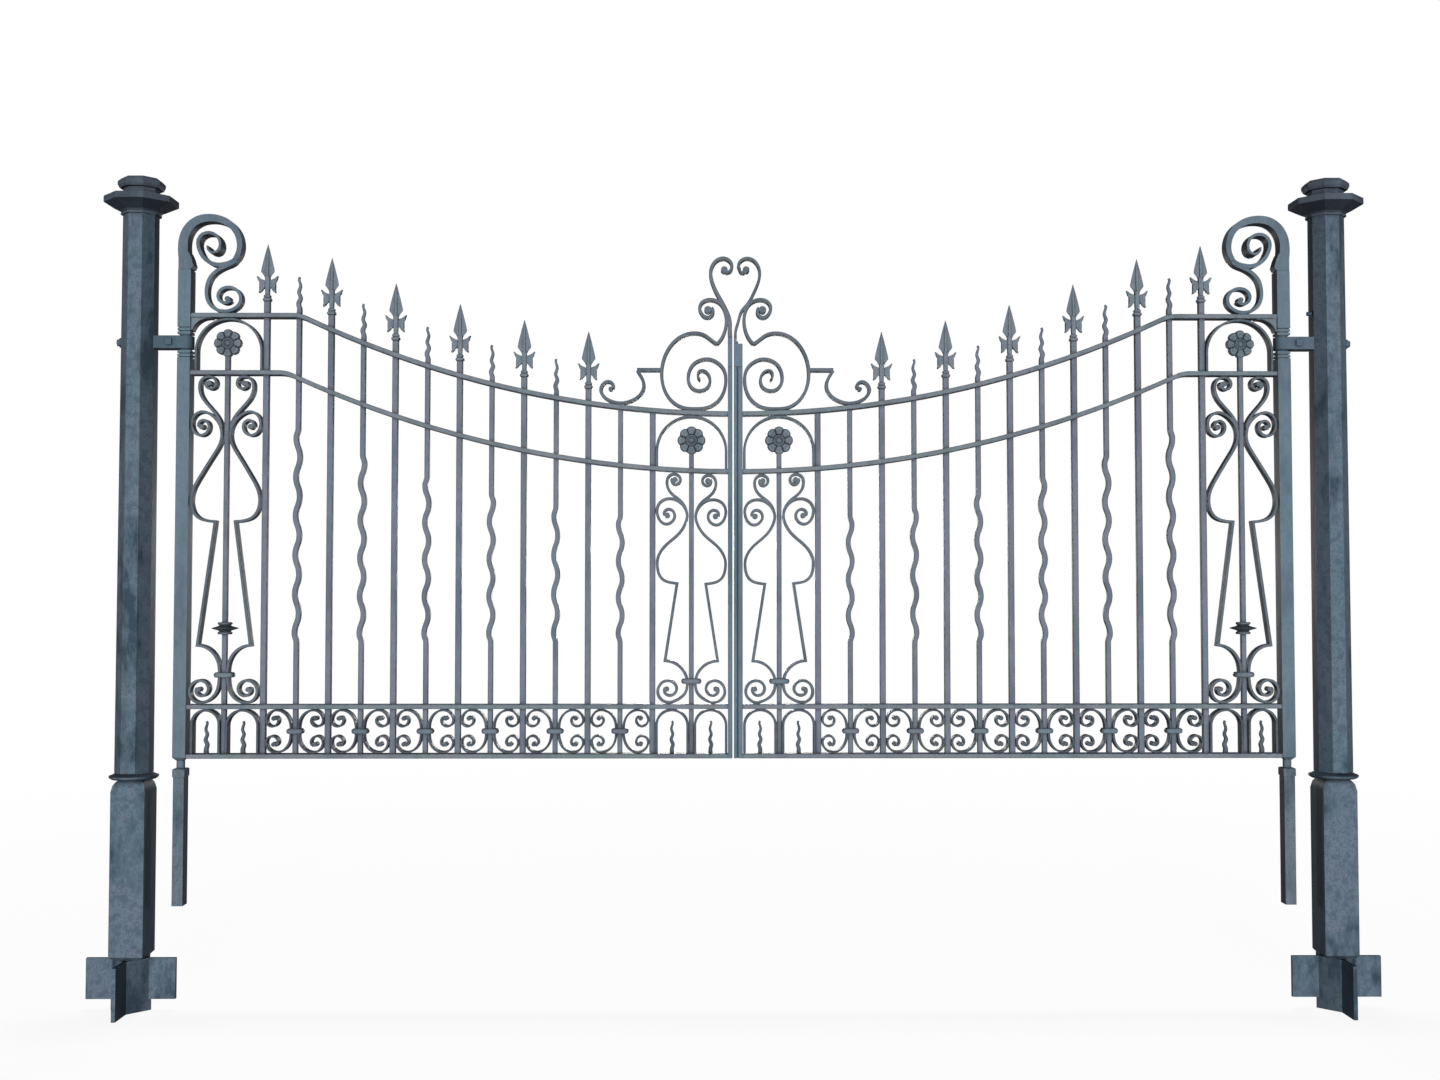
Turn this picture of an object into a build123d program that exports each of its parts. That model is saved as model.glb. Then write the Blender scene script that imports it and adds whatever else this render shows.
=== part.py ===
"""Double-leaf wrought iron driveway gate hung on two octagonal cast iron posts.

Origin: centre of the left post's foot.  X runs along the closed leaves to the right post,
Y points into the drive (the leaves open that way), Z is up.  Lengths are millimetres.

A leaf is drawn once in its own frame: u from the hinge axis toward the middle of the opening,
z above the underside of the bottom rail.  The right leaf is the mirror image of the left one,
apart from the meeting stile.
"""
from build123d import *
from math import atan2, ceil, cos, degrees, pi, sin, sqrt
import os

# ---- opening and levels ----------------------------------------------------
leaf_span = 1808.0            # hinge axis to the middle of the opening
post_to_axis = 152.0          # post centre to hinge axis
fit_gap = 0.3                 # daylight left between curved bars that only touch

# ---- posts -----------------------------------------------------------------
post_height = 2714.0
leaf_drop = 1902.0            # top of the posts to the underside of the bottom rails
gate_lift = post_height - leaf_drop
foot_height = 168.0           # star-shaped part that stood in the concrete
foot_core = 93.0              # its square core, turned 45 degrees
fin_thickness = 13.0
front_fin_reach = 150.0
side_fin_reach = 145.0
side_fin_bottom = 36.0
base_width = 110.0            # square base between the foot and the ring
base_bevel = 12.0
shoulder_height = 34.0          # rounded shoulders at the top of the base
shoulder_inset = 16.0
shoulder_curve = [(0.3, 0.4), (0.7, 0.12)]  # shares of the inset and of the height left
ring_level = 755.0
ring_diameter = 156.0
ring_height = 24.0
ring_rim = 9.0                  # rounded edge of the ring
shaft_flats_bottom = 112.0
shaft_flats_top = 105.0
capital_height = 122.0
flange_flats = 217.0
flange_rise = 38.0              # flange above the cap's foot
flange_band = 20.0
disc_flats = 139.0
disc_height = 34.0
disc_bevel = 12.0
cap_bead = 7.0

# ---- hanging stile, strap hinge and heel pivot ------------------------------
stile_width = 42.0
stile_depth = 48.0
stile_top = 1600.0            # where the stile turns into the crook
hinge_level = 1361.0
neck_diameter = 38.0
neck_height = 100.0
neck_band_depth = 44.0        # square bands round the neck, as wide as the stile
neck_band_height = 8.6
neck_band_places = (7.0, 19.0)  # middles of the bands, from the neck's ends
strap_height = 42.0
strap_thickness = 7.0
pivot_clearance = 1.0
strap_bolt_offset = 47.0      # cross bolt, from the hinge axis toward the post
strap_bolt_diameter = 14.0
anchor_end_offset = 30.0      # free end of the anchor block, from the hinge axis
tail_diameter = 22.0
bolt_head = 20.0
bolt_head_height = 7.0
bolt_end = 4.0                  # threaded end beyond its nut
nut_flats = 28.0
nut_height = 12.0
old_bolt_diameter = 14.0        # cut-off bolt in the right post, above the top rail
old_bolt_proud = 13.0
old_bolt_rise = 12.0
stile_heel_drop = 8.0         # stile end below the bottom rail
heel_bevel = 12.0
pintle_diameter = 27.0
pintle_height = 24.0
heel_pin_diameter = 18.0
heel_pin_length = 38.0
stake_width = 35.0
stake_depth = 44.0
stake_reach = 475.0           # below the underside of the bottom rails
stake_bottom = gate_lift - stake_reach
socket_chamfer = 3.0
socket_width = 40.0
socket_depth = 49.0
socket_height = 26.0

# ---- rails and upright bars -------------------------------------------------
rail_thickness = 15.0
rail_depth = 44.0
bend_radius = 110.0           # swept rails, where their level part ends
bottom_rail_height = 15.0
dado_rail_level = 168.0
lower_rail_high = 1261.0      # swept rails: level beside the hanging stile
lower_rail_low = 937.0        # and level at the middle of the opening
top_rail_high = 1450.0
top_rail_low = 1127.0
top_rail_radius = 3321.0      # the lower rail's arc has the same centre
gusset_width = 66.0
gusset_height = 44.0
gusset_depth = 40.0
gusset_toe = 4.0
gusset_hollow = (0.36, 0.34)  # middle of its hollow edge, as shares of width and height
meeting_stile_width = 14.5
meeting_stile_offset = 16.75  # stile centre from the middle of the opening
meeting_stile_rise = 250.0     # stile end above the top rail's low end
meeting_panel_edge = 26.0     # where the meeting panels start, from the middle
leaf_gap = 5.5
strip_width = 9.0
groove_width = 4.5
groove_sink = 12.0
groove_drop = 10.0              # groove's floor below the stile's top
lock_block_level = 1282.0
lock_block_height = 75.0
lock_block_proud = 3.0          # lock case beyond the stile's faces
panel_clear = 236.0           # clear width of the two ornamental panels of a leaf
spear_bar = 19.0
slim_bar = 16.0
bay_count = 12                # spaces between the two panels
wave_amplitude = 6.5
wave_length = 123.0
wave_bottom = 375.0
wave_top_drop = 165.0          # straight length below the lower swept rail
tip_rise = 122.0               # flame tip above the top rail
tip_wave = 3.6
tip_end = 6.5
tip_bends = (-1, 1, -1, 1, -1)
flame_foot = 0.16             # shares of a flame's height: straight foot, first and last bend
flame_bends = (0.27, 0.90)
flame_fade = 0.6

# ---- ornaments ---------------------------------------------------------------
spear_rise = 238.0            # spear point above the top rail
blade_length = 86.0
blade_width = 44.0
blade_depth = 15.0
shoulder_drop = 22.0
barb_depth = 14.0
barb_outline = [(20, 0), (31, 5), (37, 2), (34, -6), (23, -16), (17, -27), (18, -40), (26, -49),
                (17, -51)]    # x from the middle, z from the blade's neck
barb_root = (-4, -47)
barb_sink = 2.0
socket_step = 1.0             # the socket's faces behind the bar's
socket_lap = 6.0              # socket carried up into the blade
spear_ring_chamfer = 2.0
spear_ring_drop = 190.0
spear_ring_width = 28.0
spear_ring_height = 13.0
rosette_diameter = 92.0
rosette_depth = 24.0
rosette_petal_depth = 13.2
rosette_ring_depth = 19.2
petal_count = 8
petal_radius = 18.5
rosette_ring = 33.0
rosette_boss = 20.0
rosette_drop = 91.0           # rosette centre below the top rail
knop_level = 423.0
knop_diameter = 86.0
knop_ring_diameter = 48.0
knop_height = 40.0
knop_lip = 4.0                # its end rings: slope in, straight height, drop to the waist
knop_band = 5.0
knop_waist = 11.0
knop_edge = (6.0, 3.0)        # slope to the disc's edge: in, and away from the middle
scroll_thickness = 9.0
scroll_depth = 30.0
dado_scroll_thickness = 7.0
dado_scroll_depth = 30.0
dado_collar_width = 56.0
dado_collar_height = 17.0
panel_collar_width = 66.0
panel_collar_height = 17.0
hanging_collar_level = 271.0
meeting_collar_level = 250.0
collar_wall = 5.0
collar_chamfer = 0.3          # share of a collar's height
dado_tie_slack = 1.5          # room in a collar beyond the bars it ties
panel_tie_slack = 8.0
arch_thickness = 8.0
arch_depth = 36.0
arch_inset = 13.0             # arches stand off the hanging stile, clear of the strap loop
dart_height = 105.0
dart_width = 14.0
dart_wave = 3.2
dart_bends = (1, -1, 1, -1, 1)
crest_thickness = 10.5
crest_depth = 30.0
stub_height = 12.0
crook_depth = 44.0
crook_start = 34.0              # crook's thickness at the stile and at the fork
crook_end = 15.0
crook_scroll = 12.0
crook_scroll_depth = 34.0
nib_notch = 4.0
nib_reach = 7.0                # the nib beyond the stile's inner side
nib_rise = 15.0
fish_tail_thickness = 7.0
fish_tail_depth = 60.0

# ---- derived places ------------------------------------------------------------
hanging_inner = stile_width / 2
first_bar = hanging_inner + panel_clear + spear_bar / 2
last_bar = leaf_span - meeting_panel_edge - panel_clear - spear_bar / 2
bar_pitch = (last_bar - first_bar) / bay_count
bar_places = [first_bar + bar_pitch * i for i in range(bay_count + 1)]
spear_places = bar_places[0:bay_count - 1:2]
wavy_places = bar_places[1:bay_count:2]
hanging_bar = hanging_inner + panel_clear / 2
meeting_bar = leaf_span - meeting_panel_edge - panel_clear / 2
sweep_centre = top_rail_low + top_rail_radius
lower_rail_radius = sweep_centre - lower_rail_low
dado_floor = bottom_rail_height
dado_roof = dado_rail_level - rail_thickness / 2
panel_floor = dado_rail_level + rail_thickness / 2


# ---- shared shapes ---------------------------------------------------------------
def block(x0, x1, y0, y1, z0, z1):
    """Square-edged bar between the given faces."""
    return Pos((x0 + x1) / 2, (y0 + y1) / 2, (z0 + z1) / 2) * Box(x1 - x0, y1 - y0, z1 - z0)


def bar(u, width, z0, z1, depth=None):
    """Upright bar centred on u."""
    depth = depth or width
    return block(u - width / 2, u + width / 2, -depth / 2, depth / 2, z0, z1)


def upright(sketch, depth, back=0.0):
    """Stand a drawing of (u, z) up and give it depth; back moves it along Y."""
    return Pos(0, back + depth / 2, 0) * extrude(Plane.XZ * sketch, depth)


def octagon(flats, z):
    return Pos(0, 0, z) * RegularPolygon(flats / 2, 8, major_radius=False, rotation=22.5)


def turned(profile):
    """Solid of revolution about Z from (radius, z) corners."""
    return revolve(Plane.XZ * make_face(Polyline(*profile, close=True)), Axis.Z)


def band_sides(points, thickness, end_thickness=None, step=8.0, start_up=False):
    """Left and right edge points of a flat bar bent smoothly through the points."""
    end_thickness = thickness if end_thickness is None else end_thickness
    line = Spline(*points)
    if start_up:
        line = Spline(*points, tangents=[(0, 1), line % 1])
    count = ceil(line.length / step)
    left = []
    right = []
    for i in range(count + 1):
        share = i / count
        place = line @ share
        run = line % share
        half = (thickness + (end_thickness - thickness) * share) / 2
        left.append((place.X - run.Y * half, place.Y + run.X * half))
        right.append((place.X + run.Y * half, place.Y - run.X * half))
    return left, right


def flat_band(points, thickness, end_thickness=None, step=8.0, start_up=False):
    """Edge view of a bent flat bar with an even taper."""
    left, right = band_sides(points, thickness, end_thickness, step, start_up)
    outline = [Spline(*left), Line(left[-1], right[-1]), Spline(*right), Line(right[0], left[0])]
    return make_face(outline)


def fish_tail(points, start, end, sections=16):
    """Scroll end hammered thin and wide; start and end are (thickness, depth)."""
    line = Spline(*points)
    faces = []
    for i in range(sections + 1):
        share = i / sections
        place = line @ share
        run = line % share
        section = Plane((place.X, 0, place.Y), x_dir=(-run.Y, 0, run.X), z_dir=(run.X, 0, run.Y))
        thickness = start[0] + (end[0] - start[0]) * share
        depth = start[1] + (end[1] - start[1]) * share
        faces.append(section * Rectangle(thickness, depth))
    return loft(faces, ruled=True)


def flame_line(u, z0, rise, wave, sides):
    """Middle line of a flame tip: straight at its foot, then quick bends that die away."""
    points = [(u, z0), (u, z0 + rise * flame_foot)]
    for i, side in enumerate(sides):
        share = flame_bends[0] + (flame_bends[1] - flame_bends[0]) * i / (len(sides) - 1)
        reach = wave * (1 - flame_fade * (share - flame_foot))
        points.append((u + side * reach, z0 + rise * share))
    return points + [(u, z0 + rise)]


def stacked(levels, outline):
    """Solid whose level sections are outline(size, z), for (size, z) in levels."""
    solid = None
    for (size, z), (next_size, next_z) in zip(levels, levels[1:]):
        if next_z > z:
            layer = loft([outline(size, z), outline(next_size, next_z)], ruled=True)
            solid = layer if solid is None else solid + layer
    return solid


def square(side, z):
    return Pos(0, 0, z) * Rectangle(side, side)


def straight_band(start, end, thickness):
    """Edge view of a straight flat bar that runs half a thickness past both ends."""
    length = sqrt((end[0] - start[0]) ** 2 + (end[1] - start[1]) ** 2)
    middle = Pos((start[0] + end[0]) / 2, (start[1] + end[1]) / 2)
    tilt = degrees(atan2(end[1] - start[1], end[0] - start[0]))
    return middle * Rot(0, 0, tilt) * Rectangle(length + thickness, thickness)


def eye(end, hub, side=1):
    """Hammered end of a scroll; hub is its middle (x, z) from the line's end, and its radius."""
    return Pos(end[0] + side * hub[0], end[1] + hub[1]) * Circle(hub[2])


def fitted(outline, x_range, z_range):
    """Map a dictionary of drawn lines onto a target width and height."""
    boxes = [Spline(*points).bounding_box() for points in outline.values()]
    x0 = min(box.min.X for box in boxes)
    z0 = min(box.min.Y for box in boxes)
    x_scale = (x_range[1] - x_range[0]) / (max(box.max.X for box in boxes) - x0)
    z_scale = (z_range[1] - z_range[0]) / (max(box.max.Y for box in boxes) - z0)
    return {
        name: [(x_range[0] + (x - x0) * x_scale, z_range[0] + (z - z0) * z_scale)
               for x, z in points]
        for name, points in outline.items()
    }


def mirrored(points):
    return [(-x, z) for x, z in points]


def arc_level(radius, u):
    """Height of a swept arc of the given radius above the bottom rail's underside."""
    return sweep_centre - sqrt(radius ** 2 - (leaf_span - u) ** 2)


def swept_level(u, high, radius, offset=0.0):
    """Height of a swept rail's surface, offset up from its middle line."""
    return min(high + offset, arc_level(radius - offset, u))


def top_rail_at(u, offset=0.0):
    return swept_level(u, top_rail_high, top_rail_radius, offset)


def lower_rail_at(u, offset=0.0):
    return swept_level(u, lower_rail_high, lower_rail_radius, offset)


# ---- posts ------------------------------------------------------------------------
def post(with_old_bolt):
    """One casting: finned foot, square base, ring and tapered octagonal shaft."""
    ring_bottom = ring_level - ring_height / 2
    ring_top = ring_level + ring_height / 2
    core = Pos(0, 0, foot_height / 2) * Rot(0, 0, 45) * Box(foot_core, foot_core, foot_height)
    half_fin = fin_thickness / 2
    front_fins = block(-half_fin, half_fin, -front_fin_reach, front_fin_reach, 0, foot_height)
    side_fins = block(-side_fin_reach, side_fin_reach, -half_fin, half_fin,
                      side_fin_bottom, foot_height)
    base_levels = [(base_width - 2 * base_bevel, foot_height),
                   (base_width, foot_height + base_bevel),
                   (base_width, ring_bottom - shoulder_height)]
    base_levels += [(base_width - 2 * inset * shoulder_inset, ring_bottom - rise * shoulder_height)
                    for inset, rise in shoulder_curve]
    base = stacked(base_levels + [(base_width - 2 * shoulder_inset, ring_bottom)], square)
    seat = base_width / 2 - shoulder_inset
    rim = ring_diameter / 2
    ring = turned([(0, ring_bottom), (seat, ring_bottom), (rim - ring_rim, ring_level - ring_rim),
                   (rim - ring_rim / 4, ring_level - ring_rim / 2), (rim, ring_level),
                   (rim - ring_rim / 4, ring_level + ring_rim / 3),
                   (rim - ring_rim, ring_level + ring_rim / 2),
                   (shaft_flats_bottom / 2 + ring_rim, ring_top - ring_rim / 2),
                   (shaft_flats_bottom / 2, ring_top), (0, ring_top)])
    shaft_top = post_height - capital_height
    shaft = stacked([(shaft_flats_bottom, ring_top), (shaft_flats_top, shaft_top)], octagon)
    hinge_z = gate_lift + hinge_level
    hole = Pos(0, 0, hinge_z) * Rot(0, 90, 0) * Cylinder(tail_diameter / 2, 2 * base_width)
    solid = core + front_fins + side_fins + base + ring + shaft - hole
    if with_old_bolt:
        bolt_z = gate_lift + top_rail_high + old_bolt_rise
        reach = shaft_half_width() + old_bolt_proud
        solid += Pos(reach / 2, 0, bolt_z) * Rot(0, 90, 0) * Cylinder(
            old_bolt_diameter / 2, reach)
    return solid


def capital():
    """Cap casting: two fillets, a wide sloped flange, a waisted neck and a bevelled disc."""
    bottom = post_height - capital_height
    disc_bottom = post_height - disc_height
    flange_bottom = bottom + flange_rise
    flange_top = flange_bottom + flange_band
    return stacked([
        (shaft_flats_top + 2 * cap_bead, bottom), (shaft_flats_top + 2 * cap_bead,
                                                   bottom + cap_bead),
        (shaft_flats_top + cap_bead, bottom + cap_bead),
        (shaft_flats_top + 3 * cap_bead, bottom + 2 * cap_bead),
        (flange_flats, flange_bottom), (flange_flats, flange_top),
        (shaft_flats_top + 2 * cap_bead, disc_bottom - 3 * cap_bead),
        (shaft_flats_top, disc_bottom - cap_bead), (shaft_flats_top, disc_bottom),
        (disc_flats - disc_bevel, disc_bottom), (disc_flats, disc_bottom + disc_bevel),
        (disc_flats, post_height - disc_bevel), (disc_flats - 2 * disc_bevel, post_height),
    ], octagon)


# ---- strap hinge and heel pivot ------------------------------------------------------
# Drawn for the left post, in the post's frame: the hinge axis stands at x = post_to_axis.
def shaft_half_width():
    """Half the shaft's width across flats at the strap's lower edge."""
    low = ring_level + ring_height / 2
    strap_bottom = gate_lift + hinge_level - strap_height / 2
    share = (strap_bottom - low) / (post_height - capital_height - low)
    return (shaft_flats_bottom + (shaft_flats_top - shaft_flats_bottom) * share) / 2


def strap_band():
    """Inner and outer radius of the strap's loop round the stile's neck."""
    inner = neck_diameter / 2 + pivot_clearance
    return inner, inner + strap_thickness


def hinge_strap():
    """Flat bar bent round the neck, both legs running back to the post."""
    inner, outer = strap_band()
    face = shaft_half_width()
    strap_z = gate_lift + hinge_level
    loop = Pos(post_to_axis, 0, strap_z) * (
        Cylinder(outer, strap_height) - Cylinder(inner, strap_height))
    half = strap_height / 2
    rear = block(face, post_to_axis, -outer, outer, strap_z - half, strap_z + half)
    gap = block(face, post_to_axis, -inner, inner, strap_z - half, strap_z + half)
    eye_space = Pos(post_to_axis, 0, strap_z) * Cylinder(inner, strap_height)
    hole = Pos(post_to_axis - strap_bolt_offset, 0, strap_z) * Rot(90, 0, 0) * Cylinder(
        strap_bolt_diameter / 2, 3 * outer)
    return loop + (rear - gap) - eye_space - hole


def hinge_anchor():
    """Block between the strap's legs, with a round tail through the post."""
    inner, outer = strap_band()
    face = shaft_half_width()
    strap_z = gate_lift + hinge_level
    half = strap_height / 2
    body = block(face, post_to_axis - anchor_end_offset, -inner, inner,
                 strap_z - half, strap_z + half)
    tail_end = face + nut_height + bolt_head_height
    tail = Pos((face - tail_end) / 2, 0, strap_z) * Rot(0, 90, 0) * Cylinder(
        tail_diameter / 2, face + tail_end)
    hole = Pos(post_to_axis - strap_bolt_offset, 0, strap_z) * Rot(90, 0, 0) * Cylinder(
        strap_bolt_diameter / 2, 3 * outer)
    return body + tail - hole


def hinge_fasteners():
    """Square-headed cross bolt with its nut, and the hexagon nut on the tail."""
    _, outer = strap_band()
    face = shaft_half_width()
    strap_z = gate_lift + hinge_level
    bolt_x = post_to_axis - strap_bolt_offset
    shank_back = outer + bolt_head_height + bolt_end
    shank = Pos(bolt_x, (shank_back - outer) / 2, strap_z) * Rot(90, 0, 0) * Cylinder(
        strap_bolt_diameter / 2, outer + shank_back)
    half = bolt_head / 2
    head = block(bolt_x - half, bolt_x + half, -outer - bolt_head_height, -outer,
                 strap_z - half, strap_z + half)
    back_nut = block(bolt_x - half, bolt_x + half, outer, outer + bolt_head_height,
                     strap_z - half, strap_z + half)
    hexagon = RegularPolygon(nut_flats / 2, 6, major_radius=False) - Circle(tail_diameter / 2)
    tail_nut = extrude(Plane((-face, 0, strap_z), z_dir=(-1, 0, 0)) * hexagon, nut_height)
    return Compound(children=[shank + head + back_nut, tail_nut])


def heel_stake():
    """Square stake in the ground with a socket block that carries the stile's pin."""
    top = gate_lift - stile_heel_drop - pintle_height - fit_gap
    half_w = stake_width / 2
    half_d = stake_depth / 2
    shank = block(-half_w, half_w, -half_d, half_d, stake_bottom, top - socket_height)
    socket = block(-socket_width / 2, socket_width / 2, -socket_depth / 2, socket_depth / 2,
                   top - socket_height, top)
    socket = chamfer(socket.edges().group_by(Axis.Z)[-1], socket_chamfer)
    bore_depth = heel_pin_length + pivot_clearance
    bore = Pos(0, 0, top - bore_depth / 2) * Cylinder(
        heel_pin_diameter / 2 + pivot_clearance, bore_depth)
    return Pos(post_to_axis, 0, 0) * (shank + socket - bore)


# ---- leaf frame -----------------------------------------------------------------------
def hanging_stile():
    """Square stile with a turned neck for the strap and a pintle at the heel."""
    half_w = stile_width / 2
    half_d = stile_depth / 2
    neck_low = hinge_level - neck_height / 2
    neck_high = hinge_level + neck_height / 2
    lower = block(-half_w, half_w, -half_d, half_d, -stile_heel_drop, neck_low)
    lower = chamfer(lower.edges().group_by(Axis.Z)[0], heel_bevel)
    upper = block(-half_w, half_w, -half_d, half_d, neck_high, stile_top)
    neck = Pos(0, 0, hinge_level) * Cylinder(neck_diameter / 2, neck_height)
    stile = lower + upper + neck
    for side in (-1, 1):
        for place in neck_band_places:
            middle = hinge_level + side * (neck_height / 2 - place)
            stile += Pos(0, 0, middle) * Box(stile_width, neck_band_depth, neck_band_height)
    pintle = Pos(0, 0, -stile_heel_drop - pintle_height / 2) * Cylinder(
        pintle_diameter / 2, pintle_height)
    pin = Pos(0, 0, -stile_heel_drop - pintle_height - heel_pin_length / 2) * Cylinder(
        heel_pin_diameter / 2, heel_pin_length)
    return stile + pintle + pin


# Crook outlines: x from the hinge axis, z above the stile's top.
crook_head = [(-4, 40), (-7, 84), (0, 120), (18, 148), (45, 166), (78, 172), (111, 168),
              (143, 153), (166, 128), (177, 98), (177, 66), (165, 38)]
crook_spiral = [(165, 38), (146, 24), (128, 19), (104, 17), (80, 25), (60, 41), (48, 62), (42, 84),
                (46, 105), (61, 119), (82, 122), (103, 113), (115, 93), (115, 72), (103, 57),
                (88, 56), (77, 66), (76, 78)]
crook_back = [(168, 42), (154, 23), (130, 12), (107, 0), (85, -20), (73, -46), (70, -76),
              (76, -104), (95, -126)]
crook_curl = [(167, -124), (181, -105), (180, -82), (164, -63), (140, -57), (117, -66), (108, -84),
              (115, -102), (134, -108), (148, -99)]
crook_bottom_x = 130.0
crook_eye = (-9, 4, 9)
crook_root = (40.0, 58.0, 46.0)  # heights above the stile: inner side, peak, outer side
crook_root_step = 4.0


def crook():
    """Head of the stile: a broad crook ending in a fish tail, with a scroll back to the rail."""
    half = stile_width / 2

    def from_top(points):
        return [(x, stile_top + z) for x, z in points]

    inner, peak, outer = (stile_top + rise for rise in crook_root)
    root = make_face(Polyline((-half, stile_top), (half, stile_top),
                              (half + nib_reach, stile_top + nib_rise), (half, inner),
                              (crook_start / 2 - crook_root_step, peak), (-half, outer),
                              close=True))
    root -= Pos(half, stile_top) * Circle(nib_notch)
    head = root + flat_band(from_top(crook_head), crook_start, crook_end)
    tail = fish_tail(from_top(crook_spiral), (crook_end, crook_scroll_depth),
                     (fish_tail_thickness, fish_tail_depth), sections=30)
    bottom = top_rail_high + rail_thickness / 2 + crook_scroll / 2 + fit_gap
    scroll = flat_band(from_top(crook_back) + [(crook_bottom_x, bottom)] + from_top(crook_curl),
                       crook_scroll, crook_scroll * 0.8)
    scroll += eye(from_top(crook_curl)[-1], crook_eye)
    return upright(head, crook_depth) + tail + upright(scroll, crook_scroll_depth)


def swept_rail(high, radius):
    """Rail that runs level from the stile, then follows the arc to the meeting stile."""
    half = rail_thickness / 2
    end = leaf_span - meeting_stile_offset - meeting_stile_width / 2

    def kink(offset):
        drop = sweep_centre - high - offset
        return leaf_span - sqrt((radius - offset) ** 2 - drop ** 2)

    def surface(offset):
        start = kink(offset)
        middle = (start + end) / 2
        return ThreePointArc((start, high + offset), (middle, arc_level(radius - offset, middle)),
                             (end, arc_level(radius - offset, end)))

    top = surface(half)
    under = surface(-half)
    outline = [Line((hanging_inner, high + half), top @ 0), top, Line(top @ 1, under @ 1), under,
               Line(under @ 0, (hanging_inner, high - half)),
               Line((hanging_inner, high - half), (hanging_inner, high + half))]
    face = make_face(outline)
    for corner, bend in ((top @ 0, bend_radius + half), (under @ 0, bend_radius - half)):
        face = fillet(face.vertices().sort_by_distance(corner)[0], bend)
    return upright(face, rail_depth)


def straight_rail(z0, z1):
    end = leaf_span - meeting_stile_offset - meeting_stile_width / 2
    return block(hanging_inner, end, -rail_depth / 2, rail_depth / 2, z0, z1)


def bar_holes(z0, z1, panel_bars=True):
    """Square bars as cutters for the rails they pass through."""
    cutters = [bar(u, spear_bar, z0, z1) for u in spear_places + [last_bar]]
    cutters += [bar(u, slim_bar, z0, z1) for u in wavy_places]
    if panel_bars:
        cutters += [bar(u, slim_bar, z0, z1) for u in (hanging_bar, meeting_bar)]
    return cutters


def gusset():
    """Hollow-curved bracket under the top rail at the stile."""
    x0 = hanging_inner
    x1 = x0 + gusset_width
    z1 = top_rail_high - rail_thickness / 2
    z0 = z1 - gusset_height
    hollow = (x0 + gusset_hollow[0] * gusset_width, z1 - gusset_hollow[1] * gusset_height)
    curve = ThreePointArc((x1, z1 - gusset_toe), hollow, (x0 + gusset_toe, z0))
    outline = [Line((x0, z0), (x0, z1)), Line((x0, z1), (x1, z1)),
               Line((x1, z1), (x1, z1 - gusset_toe)), curve, Line((x0 + gusset_toe, z0), (x0, z0))]
    return upright(make_face(outline), gusset_depth)


def top_rail():
    low = top_rail_low - rail_thickness
    high = top_rail_high + rail_thickness
    return swept_rail(top_rail_high, top_rail_radius) - bar_holes(low, high, False) + gusset()


def lower_rail():
    low = lower_rail_low - rail_thickness
    high = lower_rail_high + rail_thickness
    return swept_rail(lower_rail_high, lower_rail_radius) - bar_holes(low, high)


def dado_rails():
    """Bottom rail and dado rail, both straight."""
    cutters = bar_holes(0, dado_rail_level + rail_thickness)
    low = straight_rail(0, bottom_rail_height) - cutters
    high = straight_rail(dado_roof, panel_floor) - cutters
    return Compound(children=[low, high])


def upright_bars():
    """Spear bars, the panel edge bar and the two panel bars that carry the rosettes."""
    bars = [bar(u, spear_bar, 0, top_rail_at(u) + spear_rise - spear_ring_drop)
            for u in spear_places]
    bars.append(bar(last_bar, spear_bar, 0, top_rail_at(last_bar)))
    for u in (hanging_bar, meeting_bar):
        bars.append(bar(u, slim_bar, 0, top_rail_at(u) - rosette_drop - rosette_boss / 2))
    return Compound(children=bars)


def wave_peaks(u, z0, z1):
    """Turning points of a waved stretch: bends to alternate sides, half a wave apart."""
    bends = max(2, round(2 * (z1 - z0) / wave_length))
    points = [(u, z0)]
    for i in range(bends):
        side = -1 if i % 2 == 0 else 1
        points.append((u + side * wave_amplitude, z0 + (z1 - z0) * (i + 0.5) / bends))
    return points + [(u, z1)]


def waved_edge(peaks, offset):
    """Edge of a waved bar, offset from its middle line: two equal arcs from peak to peak."""
    arcs = []
    start = (peaks[0][0] + offset, peaks[0][1])
    for (x0, z0), (x1, z1) in zip(peaks, peaks[1:]):
        way = 1 if x1 > x0 else -1
        across = abs(x1 - x0)
        radius = (across ** 2 + (z1 - z0) ** 2) / (4 * across)
        turn = 2 * atan2(across, z1 - z0)
        first = radius - way * offset
        second = radius + way * offset
        leaving = [(x0 + way * (radius - first * cos(a)), z0 + first * sin(a))
                   for a in (turn / 2, turn)]
        reaching = [(x1 - way * (radius - second * cos(a)), z1 - second * sin(a))
                    for a in (turn / 2, 0)]
        arcs.append(ThreePointArc(start, *leaving))
        arcs.append(ThreePointArc(leaving[-1], *reaching))
        start = reaching[-1]
    return arcs


def flame_faces(u, z0, rise, width):
    """Room between the front and back faces of a bar that thins to a flame tip above z0."""
    half = width / 2
    over = tip_end / 2
    side_view = Plane.YZ * make_face(Polyline((-half, 0), (half, 0), (half, z0),
                                              (over, z0 + rise + over), (-over, z0 + rise + over),
                                              (-half, z0), close=True))
    return Pos(u - 3 * width, 0, 0) * extrude(side_view, 6 * width)


def flame(u, z0, rise, width, wave, sides):
    """Flame-shaped point that stands on its own foot at z0."""
    face = flat_band(flame_line(u, z0, rise, wave, sides), width, tip_end, step=5, start_up=True)
    return upright(face, width) & flame_faces(u, z0, rise, width)


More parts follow.
